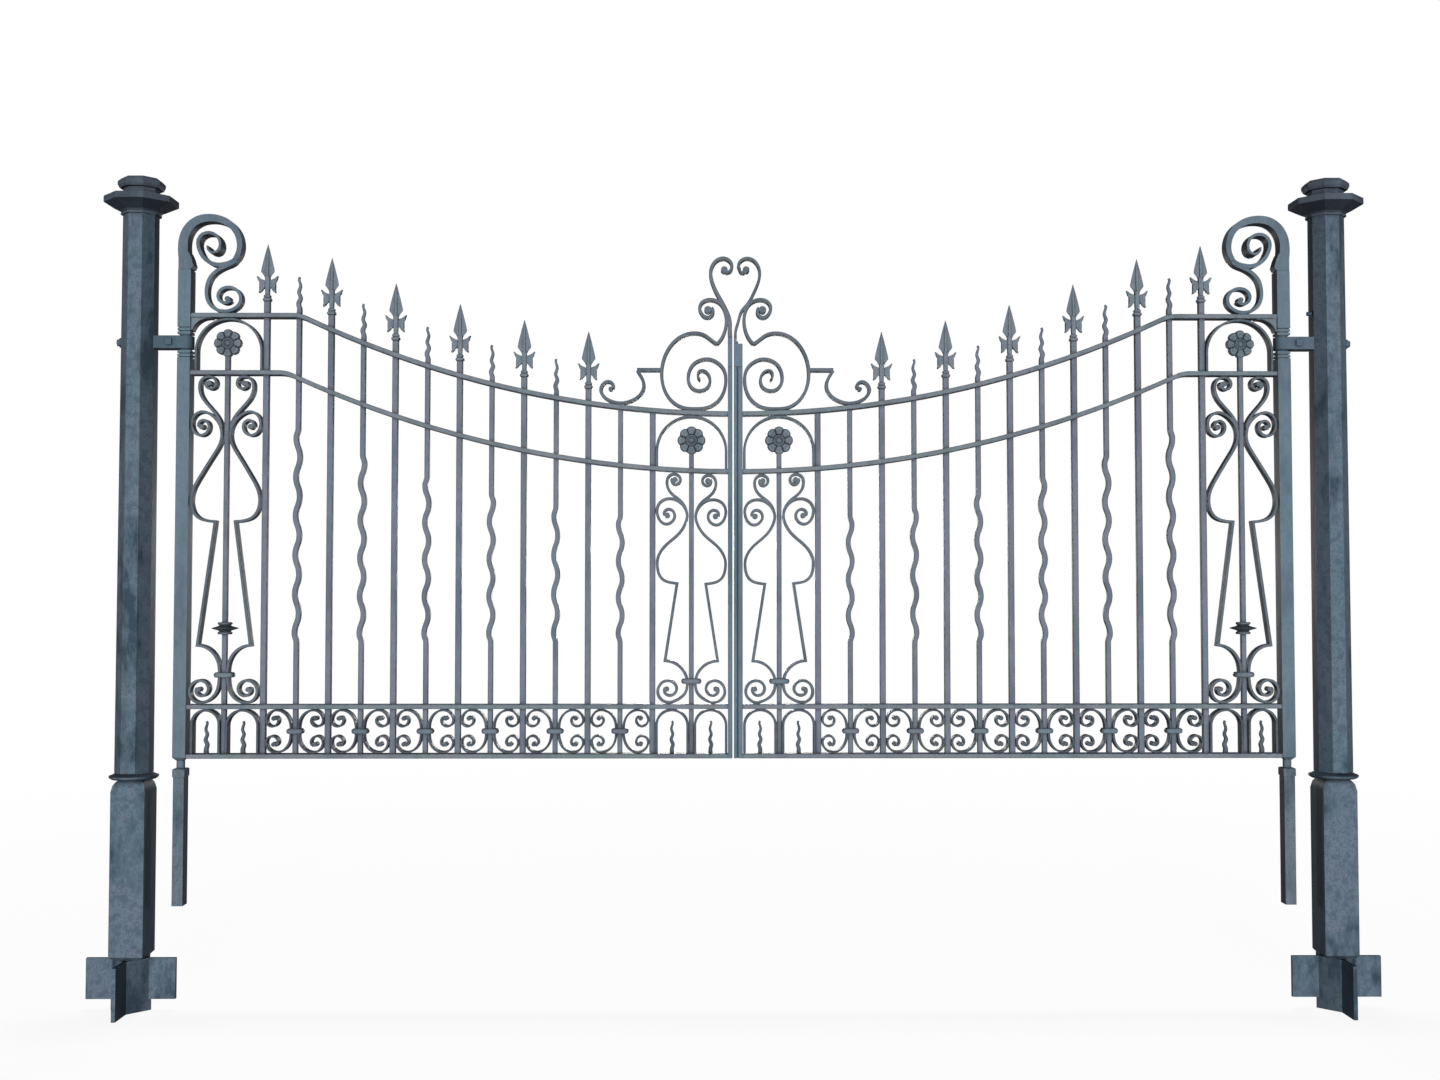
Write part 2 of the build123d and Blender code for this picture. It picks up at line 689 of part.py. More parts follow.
def waved_bar(u, with_tip):
    """Slim bar waved between the rails; above the top rail it may end in a flame tip."""
    half = slim_bar / 2
    wave_top = lower_rail_at(u) - wave_top_drop
    top = top_rail_at(u, rail_thickness / 2) if with_tip else top_rail_at(u)
    peaks = wave_peaks(u, wave_bottom, wave_top)
    tips = band_sides(flame_line(u, top, tip_rise, tip_wave, tip_bends), slim_bar, tip_end,
                      step=5, start_up=True)
    outline = [Line((u - half, 0), (u + half, 0))]
    ends = []
    for offset, tip in zip((-half, half), tips):
        edge = u + offset
        outline.append(Line((edge, 0), (edge, wave_bottom)))
        outline += waved_edge(peaks, offset)
        outline.append(Line((edge, wave_top), (edge, top)))
        ends.append((edge, top))
        if with_tip:
            outline.append(Spline((edge, top), *tip[1:]))
            ends[-1] = tip[-1]
    outline.append(Line(*ends))
    solid = upright(make_face(outline), slim_bar)
    return solid & flame_faces(u, top, tip_rise, slim_bar) if with_tip else solid


def wavy_bars():
    return Compound(children=[waved_bar(u, u != wavy_places[-1]) for u in wavy_places])


# ---- spear heads and rosettes ------------------------------------------------------------
def spear_head():
    """Diamond-section blade on a socket with two pairs of barbs; its point is at z = 0."""
    shoulder = -blade_length
    neck = shoulder - shoulder_drop
    half_bar = spear_bar / 2

    def diamond(half_x, half_y, z):
        corners = [(half_x, 0), (0, half_y), (-half_x, 0), (0, -half_y)]
        return Pos(0, 0, z) * make_face(Polyline(*corners, close=True))

    blade = loft([diamond(blade_width / 2, blade_depth / 2, shoulder), diamond(0.6, 0.6, 0)],
                 ruled=True)
    blade += loft([diamond(half_bar, half_bar, neck),
                   diamond(blade_width / 2, blade_depth / 2, shoulder)], ruled=True)
    half_socket = half_bar - socket_step
    socket = block(-half_socket, half_socket, -half_socket, half_socket,
                   -spear_ring_drop, neck + socket_lap)
    root = half_bar - barb_sink
    side = [(x, neck + z) for x, z in barb_outline]
    side = [(root, neck + barb_root[0])] + side + [(root, neck + barb_root[1])]
    barbs = [make_face([Spline(*side), Line(side[-1], side[0])]),
             make_face([Spline(*mirrored(side)), Line(mirrored(side)[-1], mirrored(side)[0])])]
    ring = Pos(0, 0, -spear_ring_drop + spear_ring_height / 2) * Box(
        spear_ring_width, spear_ring_width, spear_ring_height)
    head = blade + socket + chamfer(ring.edges(), spear_ring_chamfer)
    for barb in barbs:
        head += upright(barb, barb_depth)
    return head


def spear_heads():
    head = spear_head()
    return Compound(children=[Pos(u, 0, top_rail_at(u) + spear_rise) * head
                              for u in spear_places])


def rosette():
    """Cast flower on both faces of a disc, bored for the panel bar below."""
    petals = rosette_diameter / 2 - petal_radius
    flower = Circle(petals)
    for i in range(petal_count):
        angle = 2 * pi * i / petal_count
        flower += Pos(petals * cos(angle), petals * sin(angle)) * Circle(petal_radius)
    solid = upright(flower, rosette_petal_depth)
    solid += upright(Circle(rosette_ring / 2), rosette_ring_depth)
    solid += upright(Circle(rosette_boss / 2), rosette_depth)
    return solid - bar(0, slim_bar, -rosette_diameter, -rosette_boss / 2)


def rosettes():
    flower = rosette()
    return Compound(children=[Pos(u, 0, top_rail_at(u) - rosette_drop) * flower
                              for u in (hanging_bar, meeting_bar)])


# ---- panel scrolls ---------------------------------------------------------------------
# Each outline is the right half of a panel, x from the panel bar's middle.  The heart and the
# side line start in their curls; the foot starts at the corner where the leg stands.
hanging_outline = {
    "heart": [(66, 1228), (68, 1215), (56, 1206), (40, 1211), (35, 1228), (47, 1243), (68, 1244),
              (85, 1232), (90, 1208), (85, 1186), (68, 1160), (42, 1131), (24, 1106), (15, 1080)],
    "side": [(91, 1082), (90, 1094), (77, 1102), (62, 1096), (57, 1079), (66, 1060), (84, 1053),
             (102, 1060), (113, 1078), (114, 1101), (102, 1121), (80, 1130), (57, 1124),
             (36, 1108), (20, 1085), (14, 1060), (16, 1036), (27, 1010), (46, 980), (70, 942),
             (92, 906), (108, 874), (114, 846), (112, 820), (103, 798), (86, 782), (62, 774),
             (34, 771)],
    "leg": [(33, 771), (88, 368)],
    "foot": [(88, 368), (68, 365), (46, 354), (28, 335), (17, 312), (13, 288), (14, 250),
             (20, 222), (33, 202), (52, 188), (75, 182), (98, 190), (111, 210), (109, 234),
             (94, 250), (74, 254), (56, 245), (49, 226), (58, 209), (76, 205), (89, 215),
             (87, 229)],
}
meeting_outline = {
    "heart": [(63, 904), (65, 893), (55, 885), (42, 889), (37, 903), (47, 916), (64, 918),
              (78, 908), (82, 891), (77, 870), (61, 851), (42, 837), (26, 820), (17, 800)],
    "side": [(90, 786), (90, 797), (77, 805), (62, 799), (56, 781), (67, 763), (86, 757),
             (104, 767), (114, 788), (114, 810), (101, 830), (77, 839), (54, 836), (34, 824),
             (20, 806), (14, 784), (19, 762), (32, 738), (56, 713), (84, 690), (105, 664),
             (114, 638), (113, 612), (106, 590), (91, 575), (70, 568), (49, 565)],
    "leg": [(48, 565), (88, 316)],
    "foot": [(88, 316), (68, 313), (46, 303), (28, 286), (17, 266), (13, 248), (14, 232),
             (20, 213), (33, 199), (52, 188), (75, 182), (98, 190), (111, 208), (109, 231),
             (94, 248), (74, 252), (56, 243), (49, 225), (58, 209), (76, 205), (89, 215),
             (87, 229)],
}


heart_eye = (-8, -4, 9)
side_eye = (-9, -1, 9)
foot_eye = (-5, -4, 8)


def half_panel(outline, z_top, side):
    """One half of a panel's scroll work, fitted between the bars and rails."""
    half = scroll_thickness / 2
    x_range = (slim_bar / 2 + half + fit_gap, panel_clear / 2 - half - 2 * fit_gap)
    z_range = (panel_floor + half + 2 * fit_gap, z_top - half - 2 * fit_gap)
    lines = fitted(outline, x_range, z_range)
    if side < 0:
        lines = {name: mirrored(points) for name, points in lines.items()}
    face = flat_band(lines["heart"], scroll_thickness)
    face += flat_band(lines["side"], scroll_thickness)
    face += straight_band(lines["leg"][0], lines["leg"][1], scroll_thickness)
    face += flat_band(lines["foot"], scroll_thickness)
    face += eye(lines["heart"][0], heart_eye, side)
    face += eye(lines["side"][0], side_eye, side)
    return face + eye(lines["foot"][-1], foot_eye, side)


def panel_scrolls(outline, u):
    """Both halves of a panel's scroll work."""
    halves = []
    for side in (-1, 1):
        curl_at = u + side * panel_clear / 4
        z_top = min(lower_rail_at(curl_at, -rail_thickness / 2),
                    lower_rail_at(curl_at + panel_clear / 8, -rail_thickness / 2))
        halves.append(Pos(u, 0, 0) * upright(half_panel(outline, z_top, side), scroll_depth))
    return Compound(children=halves)


# ---- arches and darts -----------------------------------------------------------------
def round_arch(u0, u1, floor, crown):
    """Flat bar bent to a round-headed arch."""
    radius = (u1 - u0) / 2
    middle = (u0 + u1) / 2
    spring = crown - radius

    def opening(reach):
        head = Pos(middle, spring) * Circle(reach)
        head &= Pos(middle, spring + radius) * Rectangle(2 * radius, 2 * radius)
        legs = Pos(middle, (floor + spring) / 2) * Rectangle(2 * reach, spring - floor)
        return head + legs

    return upright(opening(radius) - opening(radius - arch_thickness), arch_depth)


def rosette_arches():
    """One tall arch round each rosette, standing on the lower rail."""
    spans = [(hanging_inner + arch_inset, first_bar - spear_bar / 2),
             (last_bar + spear_bar / 2, leaf_span - meeting_panel_edge)]
    arches = []
    rail = swept_rail(lower_rail_high, lower_rail_radius)
    for u0, u1 in spans:
        floor = max(lower_rail_at(u0, -rail_thickness / 2), lower_rail_at(u1))
        crown = top_rail_at((u0 + u1) / 2, -rail_thickness / 2) - 2 * fit_gap
        arches.append(round_arch(u0, u1, floor, crown) - rail)
    return Compound(children=arches)


def dado_spans():
    """The four small arched bays, two under each panel."""
    half = slim_bar / 2
    return [(hanging_inner + arch_inset, hanging_bar - half),
            (hanging_bar + half, first_bar - spear_bar / 2),
            (last_bar + spear_bar / 2, meeting_bar - half),
            (meeting_bar + half, leaf_span - meeting_panel_edge)]


def dado_arches():
    """Small arches of the dado, each with a wavy dart standing in it."""
    pieces = []
    for u0, u1 in dado_spans():
        pieces.append(round_arch(u0, u1, dado_floor, dado_roof))
        pieces.append(dart((u0 + u1) / 2))
    return Compound(children=pieces)


def dart(u):
    """Short flame-shaped spike riveted to the bottom rail."""
    return flame(u, dado_floor, dart_height, dart_width, dart_wave, dart_bends)


# ---- dado scrolls and collars ---------------------------------------------------------------
dado_outline = {
    "curl": [(0, 0), (2, 25), (14, 48), (36, 62), (62, 62), (80, 47), (82, 26), (67, 15),
             (49, 20), (43, 34), (52, 44)],
}


dado_eye = (6, -5, 7.5)


def dado_scroll(u, side):
    """C-scroll with its back against the waved bar and both ends curled."""
    half = dado_scroll_thickness / 2
    clear = bar_pitch - slim_bar / 2 - spear_bar / 2
    reach = clear - dado_scroll_thickness - 3 * fit_gap
    rise = (dado_roof - dado_floor) / 2 - half - 2 * fit_gap
    curl = fitted(dado_outline, (0, reach), (0, rise))["curl"]
    lower = [(x, -z) for x, z in curl]
    line = [(side * x, z) for x, z in lower[::-1] + curl[1:]]
    middle = (dado_roof + dado_floor) / 2
    face = flat_band(line, dado_scroll_thickness, step=6)
    x, z, radius = dado_eye
    face += eye(line[0], (x, -z, radius), side) + eye(line[-1], (x, z, radius), side)
    back = u + side * (slim_bar / 2 + half + fit_gap)
    return Pos(back, 0, middle) * upright(face, dado_scroll_depth)


def dado_scrolls():
    return Compound(children=[dado_scroll(u, side) for u in wavy_places for side in (-1, 1)])


def collar(u, z, width, height, hole_width, hole_depth):
    """Forged collar closed round the bars that it ties."""
    depth = hole_depth + 2 * collar_wall
    body = chamfer(Box(width, depth, height).edges().filter_by(Axis.Y), height * collar_chamfer)
    return Pos(u, 0, z) * (body - Box(hole_width, hole_depth, height))


def collars():
    """Dado collars, panel collars and the turned knop on the hanging panel's bar."""
    middle = (dado_roof + dado_floor) / 2
    tie = slim_bar + 2 * dado_scroll_thickness + 4 * fit_gap + dado_tie_slack
    pieces = [collar(u, middle, dado_collar_width, dado_collar_height, tie,
                     dado_scroll_depth + 2 * fit_gap) for u in wavy_places]
    panel_tie = slim_bar + 2 * scroll_thickness + panel_tie_slack
    for u, z in ((hanging_bar, hanging_collar_level), (meeting_bar, meeting_collar_level)):
        pieces.append(collar(u, z, panel_collar_width, panel_collar_height, panel_tie,
                             scroll_depth + 2 * fit_gap))
    pieces.append(knop())
    return Compound(children=pieces)


def knop():
    half = knop_height / 2
    ring = knop_ring_diameter / 2
    rim = knop_diameter / 2
    slope_in, slope_off = knop_edge
    upper = [(rim - slope_in, slope_off), (ring - knop_band, half - knop_waist),
             (ring, half - knop_band), (ring - knop_lip, half), (0, half)]
    lower = [(r, -z) for r, z in reversed(upper)]
    profile = lower + [(rim, 0)] + upper
    return Pos(hanging_bar, 0, knop_level) * (turned(profile) - bar(0, slim_bar, -half, half))


# ---- meeting stile and crest ------------------------------------------------------------------
def meeting_stile(right_leaf):
    """Flat closing bar with half of the lock case; the right leaf adds a grooved strip."""
    top = top_rail_low + meeting_stile_rise
    outer = leaf_span - meeting_stile_offset + meeting_stile_width / 2
    inner = leaf_span - meeting_stile_offset - meeting_stile_width / 2
    half = rail_depth / 2
    case_top = lock_block_level + lock_block_height
    if right_leaf:
        closing = 2 * leaf_span - outer - leaf_gap
        groove = closing - strip_width - groove_width
        solid = block(inner, groove, -half, half, 0, case_top)
        solid += block(groove, closing - strip_width, -half + groove_sink, half, 0,
                       top - groove_drop)
        solid += block(closing - strip_width, closing, -half, half, 0, top)
    else:
        closing = outer
        solid = block(inner, outer, -half, half, 0, top)
    case_face = half + lock_block_proud
    return solid + block(inner, closing, -case_face, case_face, lock_block_level, case_top)


# Crest outlines: x from the middle of the opening, z above the top rail's low end.
crest_sprig = [(41, 364), (60, 398), (75, 433), (81, 465), (75, 491), (58, 510), (36, 515),
               (18, 506), (11, 487), (17, 473), (31, 468)]
crest_loop = [(79, 350), (73, 336), (80, 323), (95, 319), (112, 333), (117, 350), (110, 367),
              (91, 377), (69, 376), (48, 364), (34, 340), (29, 312), (32, 282), (42, 254),
              (60, 231)]
crest_volute = [(60, 231), (78, 243), (102, 260), (134, 267), (166, 261), (198, 241), (225, 205),
                (240, 160), (242, 122), (233, 80), (212, 46), (176, 22)]
volute_bottom_x = 130.0
crest_inner = [(88, 22), (54, 45), (36, 78), (31, 112), (37, 145), (57, 168), (84, 180),
               (112, 178), (138, 163), (153, 134), (153, 104), (138, 82)]
crest_tail = [(138, 82), (114, 76), (92, 86), (83, 106), (87, 127), (102, 141), (118, 140),
              (123, 127), (116, 111)]
tail_curve = [(313, 128), (303, 108), (302, 82), (317, 58), (343, 42)]
tail_bottom_x = 374.0
tail_curl = [(407, 41), (433, 58), (442, 79), (434, 98), (417, 106), (404, 99), (404, 84)]
stub_level = 145.0
stub_left_x = 239.0
stub_right_x = 323.0
crest_stem = [(1, 0, 0), (1, 1, 24), (0.5, 10, 56), (0.5, 20, 88)]  # share of the stile's own
# distance from the middle of the opening, further out, height above the stile's end
sprig_eye = (-5, 9, 11)
loop_eye = (-11, -6, 12)
tail_eye = (-6, -2, 7)


def crest(right_leaf):
    """Overthrow of the leaf: sprig, loop, volute, stub and tail scroll on the top rail."""
    half = crest_thickness / 2

    def to_leaf(points):
        return [(leaf_span - x, top_rail_low + z) for x, z in points]

    def on_rail(x):
        u = leaf_span - x
        return (u, top_rail_at(u, rail_thickness / 2) + half + 4 * fit_gap)

    stile_end = top_rail_low + meeting_stile_rise
    stem_thickness = strip_width if right_leaf else meeting_stile_width
    if right_leaf:
        stem_x = leaf_gap + meeting_stile_width / 2 - meeting_stile_offset + strip_width / 2
    else:
        stem_x = meeting_stile_offset
    stem = [(leaf_span - share * stem_x - out, stile_end + rise)
            for share, out, rise in crest_stem]
    sprig = to_leaf(crest_sprig)
    face = flat_band(stem + sprig, stem_thickness, crest_thickness * 0.9, start_up=True)
    face += eye(sprig[-1], sprig_eye)
    loop = to_leaf(crest_loop)
    face += flat_band(loop, crest_thickness) + eye(loop[0], loop_eye)
    volute = to_leaf(crest_volute) + [on_rail(volute_bottom_x)] + to_leaf(crest_inner)
    face += flat_band(volute, crest_thickness)
    stub_z = top_rail_low + stub_level
    stub = Rectangle(stub_right_x - stub_left_x, stub_height)
    face += Pos(leaf_span - (stub_left_x + stub_right_x) / 2, stub_z) * stub
    tail = to_leaf(tail_curve) + [on_rail(tail_bottom_x)] + to_leaf(tail_curl)
    corner = (leaf_span - stub_right_x + 1, stub_z - 2)
    face += flat_band([corner] + tail, crest_thickness) + eye(tail[-1], tail_eye)
    spread_end = fish_tail(to_leaf(crest_tail), (crest_thickness, crest_depth),
                           (fish_tail_thickness, fish_tail_depth), sections=20)
    return upright(face, crest_depth) + spread_end


# ---- assembly and export ---------------------------------------------------------------------
def leaf_nodes(right_leaf):
    return {
        "hanging_stile": hanging_stile(),
        "crook": crook(),
        "top_rail": top_rail(),
        "lower_rail": lower_rail(),
        "dado_rails": dado_rails(),
        "upright_bars": upright_bars(),
        "wavy_bars": wavy_bars(),
        "spear_heads": spear_heads(),
        "rosettes": rosettes(),
        "hanging_panel_scrolls": panel_scrolls(hanging_outline, hanging_bar),
        "meeting_panel_scrolls": panel_scrolls(meeting_outline, meeting_bar),
        "rosette_arches": rosette_arches(),
        "dado_arches": dado_arches(),
        "dado_scrolls": dado_scrolls(),
        "collars": collars(),
        "meeting_stile": meeting_stile(right_leaf),
        "crest": crest(right_leaf),
    }


def post_nodes(side):
    return {
        "post": post(side == "right"),
        "post_capital": capital(),
        "hinge_strap": hinge_strap(),
        "hinge_anchor": hinge_anchor(),
        "hinge_fasteners": hinge_fasteners(),
        "heel_stake": heel_stake(),
    }


def placed(shape, side, in_leaf):
    """Move a left-hand piece to its place; the right side is its mirror image."""
    if in_leaf:
        shape = Pos(post_to_axis, 0, gate_lift) * shape
    if side == "right":
        shape = mirror(shape, Plane.YZ)
        shape = Pos(2 * (post_to_axis + leaf_span), 0, 0) * shape
    return shape


os.makedirs("parts", exist_ok=True)
for side in ("left", "right"):
    for name, shape in post_nodes(side).items():
        export_step(placed(shape, side, False), f"parts/{side}_{name}.step")
    for name, shape in leaf_nodes(side == "right").items():
        export_step(placed(shape, side, True), f"parts/{side}_{name}.step")
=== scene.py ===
# %% [markdown]
# # Wrought iron driveway gate
# The construction comes in as a fixed frame: every bar, rail, scroll and casting is already at
# its real size and place, in metres.  This script gives each one its finish, and rebuilds the
# small cast and forged ornaments whose shape needs more than straight cuts.

# %% Load the frame
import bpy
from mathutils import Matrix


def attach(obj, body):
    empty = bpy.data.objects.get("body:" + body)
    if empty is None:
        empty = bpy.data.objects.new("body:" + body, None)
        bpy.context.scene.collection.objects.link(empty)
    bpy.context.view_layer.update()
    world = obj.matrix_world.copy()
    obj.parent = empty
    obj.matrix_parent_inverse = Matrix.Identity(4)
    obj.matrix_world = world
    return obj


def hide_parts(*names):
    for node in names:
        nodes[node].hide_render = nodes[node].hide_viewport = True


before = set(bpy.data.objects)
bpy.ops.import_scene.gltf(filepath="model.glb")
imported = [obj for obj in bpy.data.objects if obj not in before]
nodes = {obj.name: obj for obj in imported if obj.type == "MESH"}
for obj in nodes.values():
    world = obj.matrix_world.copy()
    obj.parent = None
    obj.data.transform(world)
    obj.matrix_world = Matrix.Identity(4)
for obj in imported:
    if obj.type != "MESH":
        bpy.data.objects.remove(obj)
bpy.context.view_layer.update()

# %% Tools used below
import math
import bmesh
import bpy
from mathutils import Vector

MM = 0.001
SAME_POINT = 0.02 * MM        # corners nearer than this are one corner
SIDES = ("left", "right")
print("kinds of piece:", sorted({name.split("_", 1)[1] for name in nodes}))

# %% [markdown]
# ## Crisp iron with softened edges
# Forged bar and castings have no knife edges: the hammer, the mould and many coats of paint
# round them.  The edges could be cut into each mesh, but a Bevel modifier adds the same small
# radius and can be changed at any time.  The Weld before it joins the facets, so that the
# bevel runs round them, and a Weighted Normal after it keeps the broad faces flat.  The mesh
# itself stays as it came.


# %% Softened edges
SHARP_ABOVE = 35.0            # degrees between two faces whose edge gets rounded
BEVEL_STEPS = 2


def soften(piece, radius_mm):
    """Round the hard edges of a piece by radius_mm."""
    for polygon in piece.data.polygons:
        polygon.use_smooth = True
    weld = piece.modifiers.new("join facets", "WELD")
    weld.merge_threshold = SAME_POINT
    bevel = piece.modifiers.new("soft edges", "BEVEL")
    bevel.width = radius_mm * MM
    bevel.segments = BEVEL_STEPS
    bevel.limit_method = "ANGLE"
    bevel.angle_limit = math.radians(SHARP_ABOVE)
    bevel.use_clamp_overlap = True
    bevel.harden_normals = False
    normals = piece.modifiers.new("flat faces", "WEIGHTED_NORMAL")
    normals.keep_sharp = True


EDGE_RADIUS = {  # millimetres
    "post": 3.0, "post_capital": 2.0, "heel_stake": 1.6, "hinge_strap": 1.2,
    "hinge_anchor": 1.2, "hinge_fasteners": 1.0, "hanging_stile": 1.8, "crook": 1.4,
    "top_rail": 1.2, "lower_rail": 1.2, "dado_rails": 1.2, "meeting_stile": 1.0,
}
FINE_EDGE = 0.8
for name, piece in nodes.items():
    kind = name.split("_", 1)[1]
    soften(piece, EDGE_RADIUS.get(kind, FINE_EDGE))
print("softened", len(nodes), "pieces")

# %% [markdown]
# ## Old satin paint
# The gate wears a slate blue-grey paint that has aged in four ways: it has clouded, pitted,
# taken the shape of the hammered iron under it and worn at the edges.  Shade is painted in as
# well, in its hollows and on its flanks, and the worn edges are lighter as a painted highlight
# on thick paint and darker as painted shade on thin iron.
# Each could be painted on a flat sheet, but the sheet has to be wrapped round every scroll.
# Noise that fills the iron's own space needs no wrapping, and turns with a leaf.  Each effect
# is a node group, built once, so every material can use it in its own strength.


# %% Helpers for shader trees
def new_group(name, inputs, outputs):
    """An empty shader node group with named sockets: {name: default} and {name: kind}."""
    group = bpy.data.node_groups.new(name, "ShaderNodeTree")
    for label, default in inputs.items():
        is_colour = isinstance(default, tuple)
        kind = "NodeSocketColor" if is_colour else "NodeSocketFloat"
        socket = group.interface.new_socket(label, in_out="INPUT", socket_type=kind)
        socket.default_value = (*default, 1.0) if is_colour else default
    for label, kind in outputs.items():
        group.interface.new_socket(label, in_out="OUTPUT", socket_type=kind)
    return group, group.nodes.new("NodeGroupInput"), group.nodes.new("NodeGroupOutput")


def add(tree, kind, links=(), **settings):
    """A node with its settings; links are (input name or index, socket or value) pairs."""
    node = tree.nodes.new(kind)
    for key, value in settings.items():
        setattr(node, key, value)
    for key, value in links:
        if isinstance(value, bpy.types.NodeSocket):
            tree.links.new(value, node.inputs[key])
        else:
            node.inputs[key].default_value = value
    return node


EVEN = (1.0, 1.0, 1.0)


def iron_coordinates(tree, stretch=EVEN):
    """Places in the iron itself, in metres, so that patterns turn with a leaf."""
    place = add(tree, "ShaderNodeTexCoord")
    mapping = add(tree, "ShaderNodeMapping", [(0, place.outputs["Object"]), (3, stretch)])
    return mapping.outputs[0]


def ramp(tree, value, low, high, out_low=0.0, out_high=1.0):
    """Stretch values between low and high to out_low and out_high."""
    node = add(tree, "ShaderNodeMapRange",
               [(0, value), (1, low), (2, high), (3, out_low), (4, out_high)])
    node.clamp = True
    return node.outputs[0]


def mixed(tree, share, first, second, blend="MIX"):
    """Mix two colours by share."""
    node = add(tree, "ShaderNodeMix", data_type="RGBA", blend_type=blend)
    for key, value in ((0, share), (6, first), (7, second)):
        if isinstance(value, bpy.types.NodeSocket):
            tree.links.new(value, node.inputs[key])
        elif key == 0:
            node.inputs[key].default_value = value
        else:
            node.inputs[key].default_value = (*value, 1.0)
    return node.outputs[2]


def combined(tree, first, second, operation="ADD"):
    """Two numbers combined by a Math node."""
    node = add(tree, "ShaderNodeMath", [(0, first), (1, second)], operation=operation)
    return node.outputs[0]


def times(tree, first, second):
    """One number scaled by another."""
    return combined(tree, first, second, "MULTIPLY")


GROUPS = {}


def keep(key, group):
    """Store a finished group under a short name."""
    GROUPS[key] = group
    print("group:", group.name, "nodes:", len(group.nodes))


print("shader helpers ready")

# %% [markdown]
# ## The patterns
# Clouds, runs, blots and dents are all the same thing at different sizes: soft noise.  One
# table holds each pattern's grain, and a second one says from which strength it shows, so that
# a pattern can be made finer or rarer without a search through the groups.


# %% Patterns
PATTERNS = {  # cells in a metre, detail, roughness, stretch
    "broad clouds": (4.0, 3.0, 0.55, EVEN),
    "small clouds": (17.0, 4.0, 0.55, EVEN),
    "rain runs": (1.0, 3.0, 0.6, (190.0, 190.0, 6.0)),
    "blots": (9.0, 6.0, 0.68, (1.0, 1.0, 0.45)),
    "mottles": (42.0, 4.0, 0.6, EVEN),
    "specks": (150.0, 3.0, 0.6, EVEN),
    "rusty areas": (26.0, 4.0, 0.6, EVEN),
    "dents": (38.0, 2.0, 0.4, EVEN),
    "grain": (320.0, 3.0, 0.6, EVEN),
    "broken edges": (60.0, 4.0, 0.65, EVEN),
}
SHOWS = {  # noise value where a pattern starts to show, and where it shows in full
    "broad clouds": (0.42, 0.66), "small clouds": (0.5, 0.72), "rain runs": (0.5, 0.75),
    "blots": (0.47, 0.60), "mottles": (0.5, 0.6), "specks": (0.5, 0.6),
    "broken edges": (0.3, 0.58),
}


def pattern(tree, name):
    """The noise of a pattern, about 0.5 on average."""
    scale, detail, roughness, stretch = PATTERNS[name]
    node = add(tree, "ShaderNodeTexNoise",
               [("Vector", iron_coordinates(tree, stretch)), ("Scale", scale),
                ("Detail", detail), ("Roughness", roughness)])
    return node.outputs["Fac"]


def patches(tree, name):
    """The places where a pattern shows, from 0 to 1."""
    return ramp(tree, pattern(tree, name), *SHOWS[name])


print("patterns:", len(PATTERNS))

# %% [markdown]
# ## Cloudy paint
# On the real gate the paint leans to green in broad clouds and to violet in small ones, rain
# has drawn faint upright runs, and soot sits in blots and specks.  The two casts are mixed in,
# while runs and soot multiply, because a dirty film darkens whatever colour lies under it.


# %% Group: cloudy paint
RUN_TINT = (0.6, 0.66, 0.73)
SOOT_TINT = (0.30, 0.36, 0.40)
MOTTLE_SHARE = 0.5
SPECK_SHARE = 0.45
RUN_GLOSS = (0.35, 0.7)       # noise values between which a run turns the paint duller


def make_cloudy_paint():
    """Paint colour with clouds, runs and soot, and a value for how dull it is."""
    group, given, out = new_group(
        "Cloudy paint",
        {"Paint": (0.14, 0.19, 0.24), "Green cast": (0.12, 0.19, 0.21),
         "Violet cast": (0.17, 0.18, 0.24), "Clouds": 0.6, "Soot": 0.4, "Streaks": 0.3},
        {"Color": "NodeSocketColor", "Rubbed": "NodeSocketFloat"})
    broad = times(group, patches(group, "broad clouds"), given.outputs["Clouds"])
    green = mixed(group, broad, given.outputs["Paint"], given.outputs["Green cast"])
    small = times(group, patches(group, "small clouds"), given.outputs["Clouds"])
    violet = mixed(group, small, green, given.outputs["Violet cast"])
    runs = pattern(group, "rain runs")
    streaks = times(group, ramp(group, runs, *SHOWS["rain runs"]), given.outputs["Streaks"])
    streaked = mixed(group, streaks, violet, RUN_TINT, "MULTIPLY")
    fine = combined(group, times(group, patches(group, "mottles"), MOTTLE_SHARE),
                  times(group, patches(group, "specks"), SPECK_SHARE), "MAXIMUM")
    soot = combined(group, patches(group, "blots"), fine, "MAXIMUM")
    share = times(group, soot, given.outputs["Soot"])
    group.links.new(mixed(group, share, streaked, SOOT_TINT, "MULTIPLY"), out.inputs["Color"])
    group.links.new(ramp(group, runs, *RUN_GLOSS), out.inputs["Rubbed"])
    return group


keep("paint", make_cloudy_paint())

# %% [markdown]
# ## Rust pits
# Where rust got under the paint it lifted in small round spots, which gather in areas.  They
# could be modelled, but there are thousands and each is a millimetre or two wide.  Voronoi
# cells give the spots, slow noise says in which areas they are, and the same mask darkens the
# colour and lowers the surface, so the two always agree.


# %% Group: pits where rust lifted the paint
PIT_CELLS = 210.0             # in a metre, at size 1
PIT_RIM = (0.1, 0.42)         # distance from a cell's middle: floor of the pit, edge of the pit
RUST_PEAK = 0.85              # noise value where an area is pitted in full


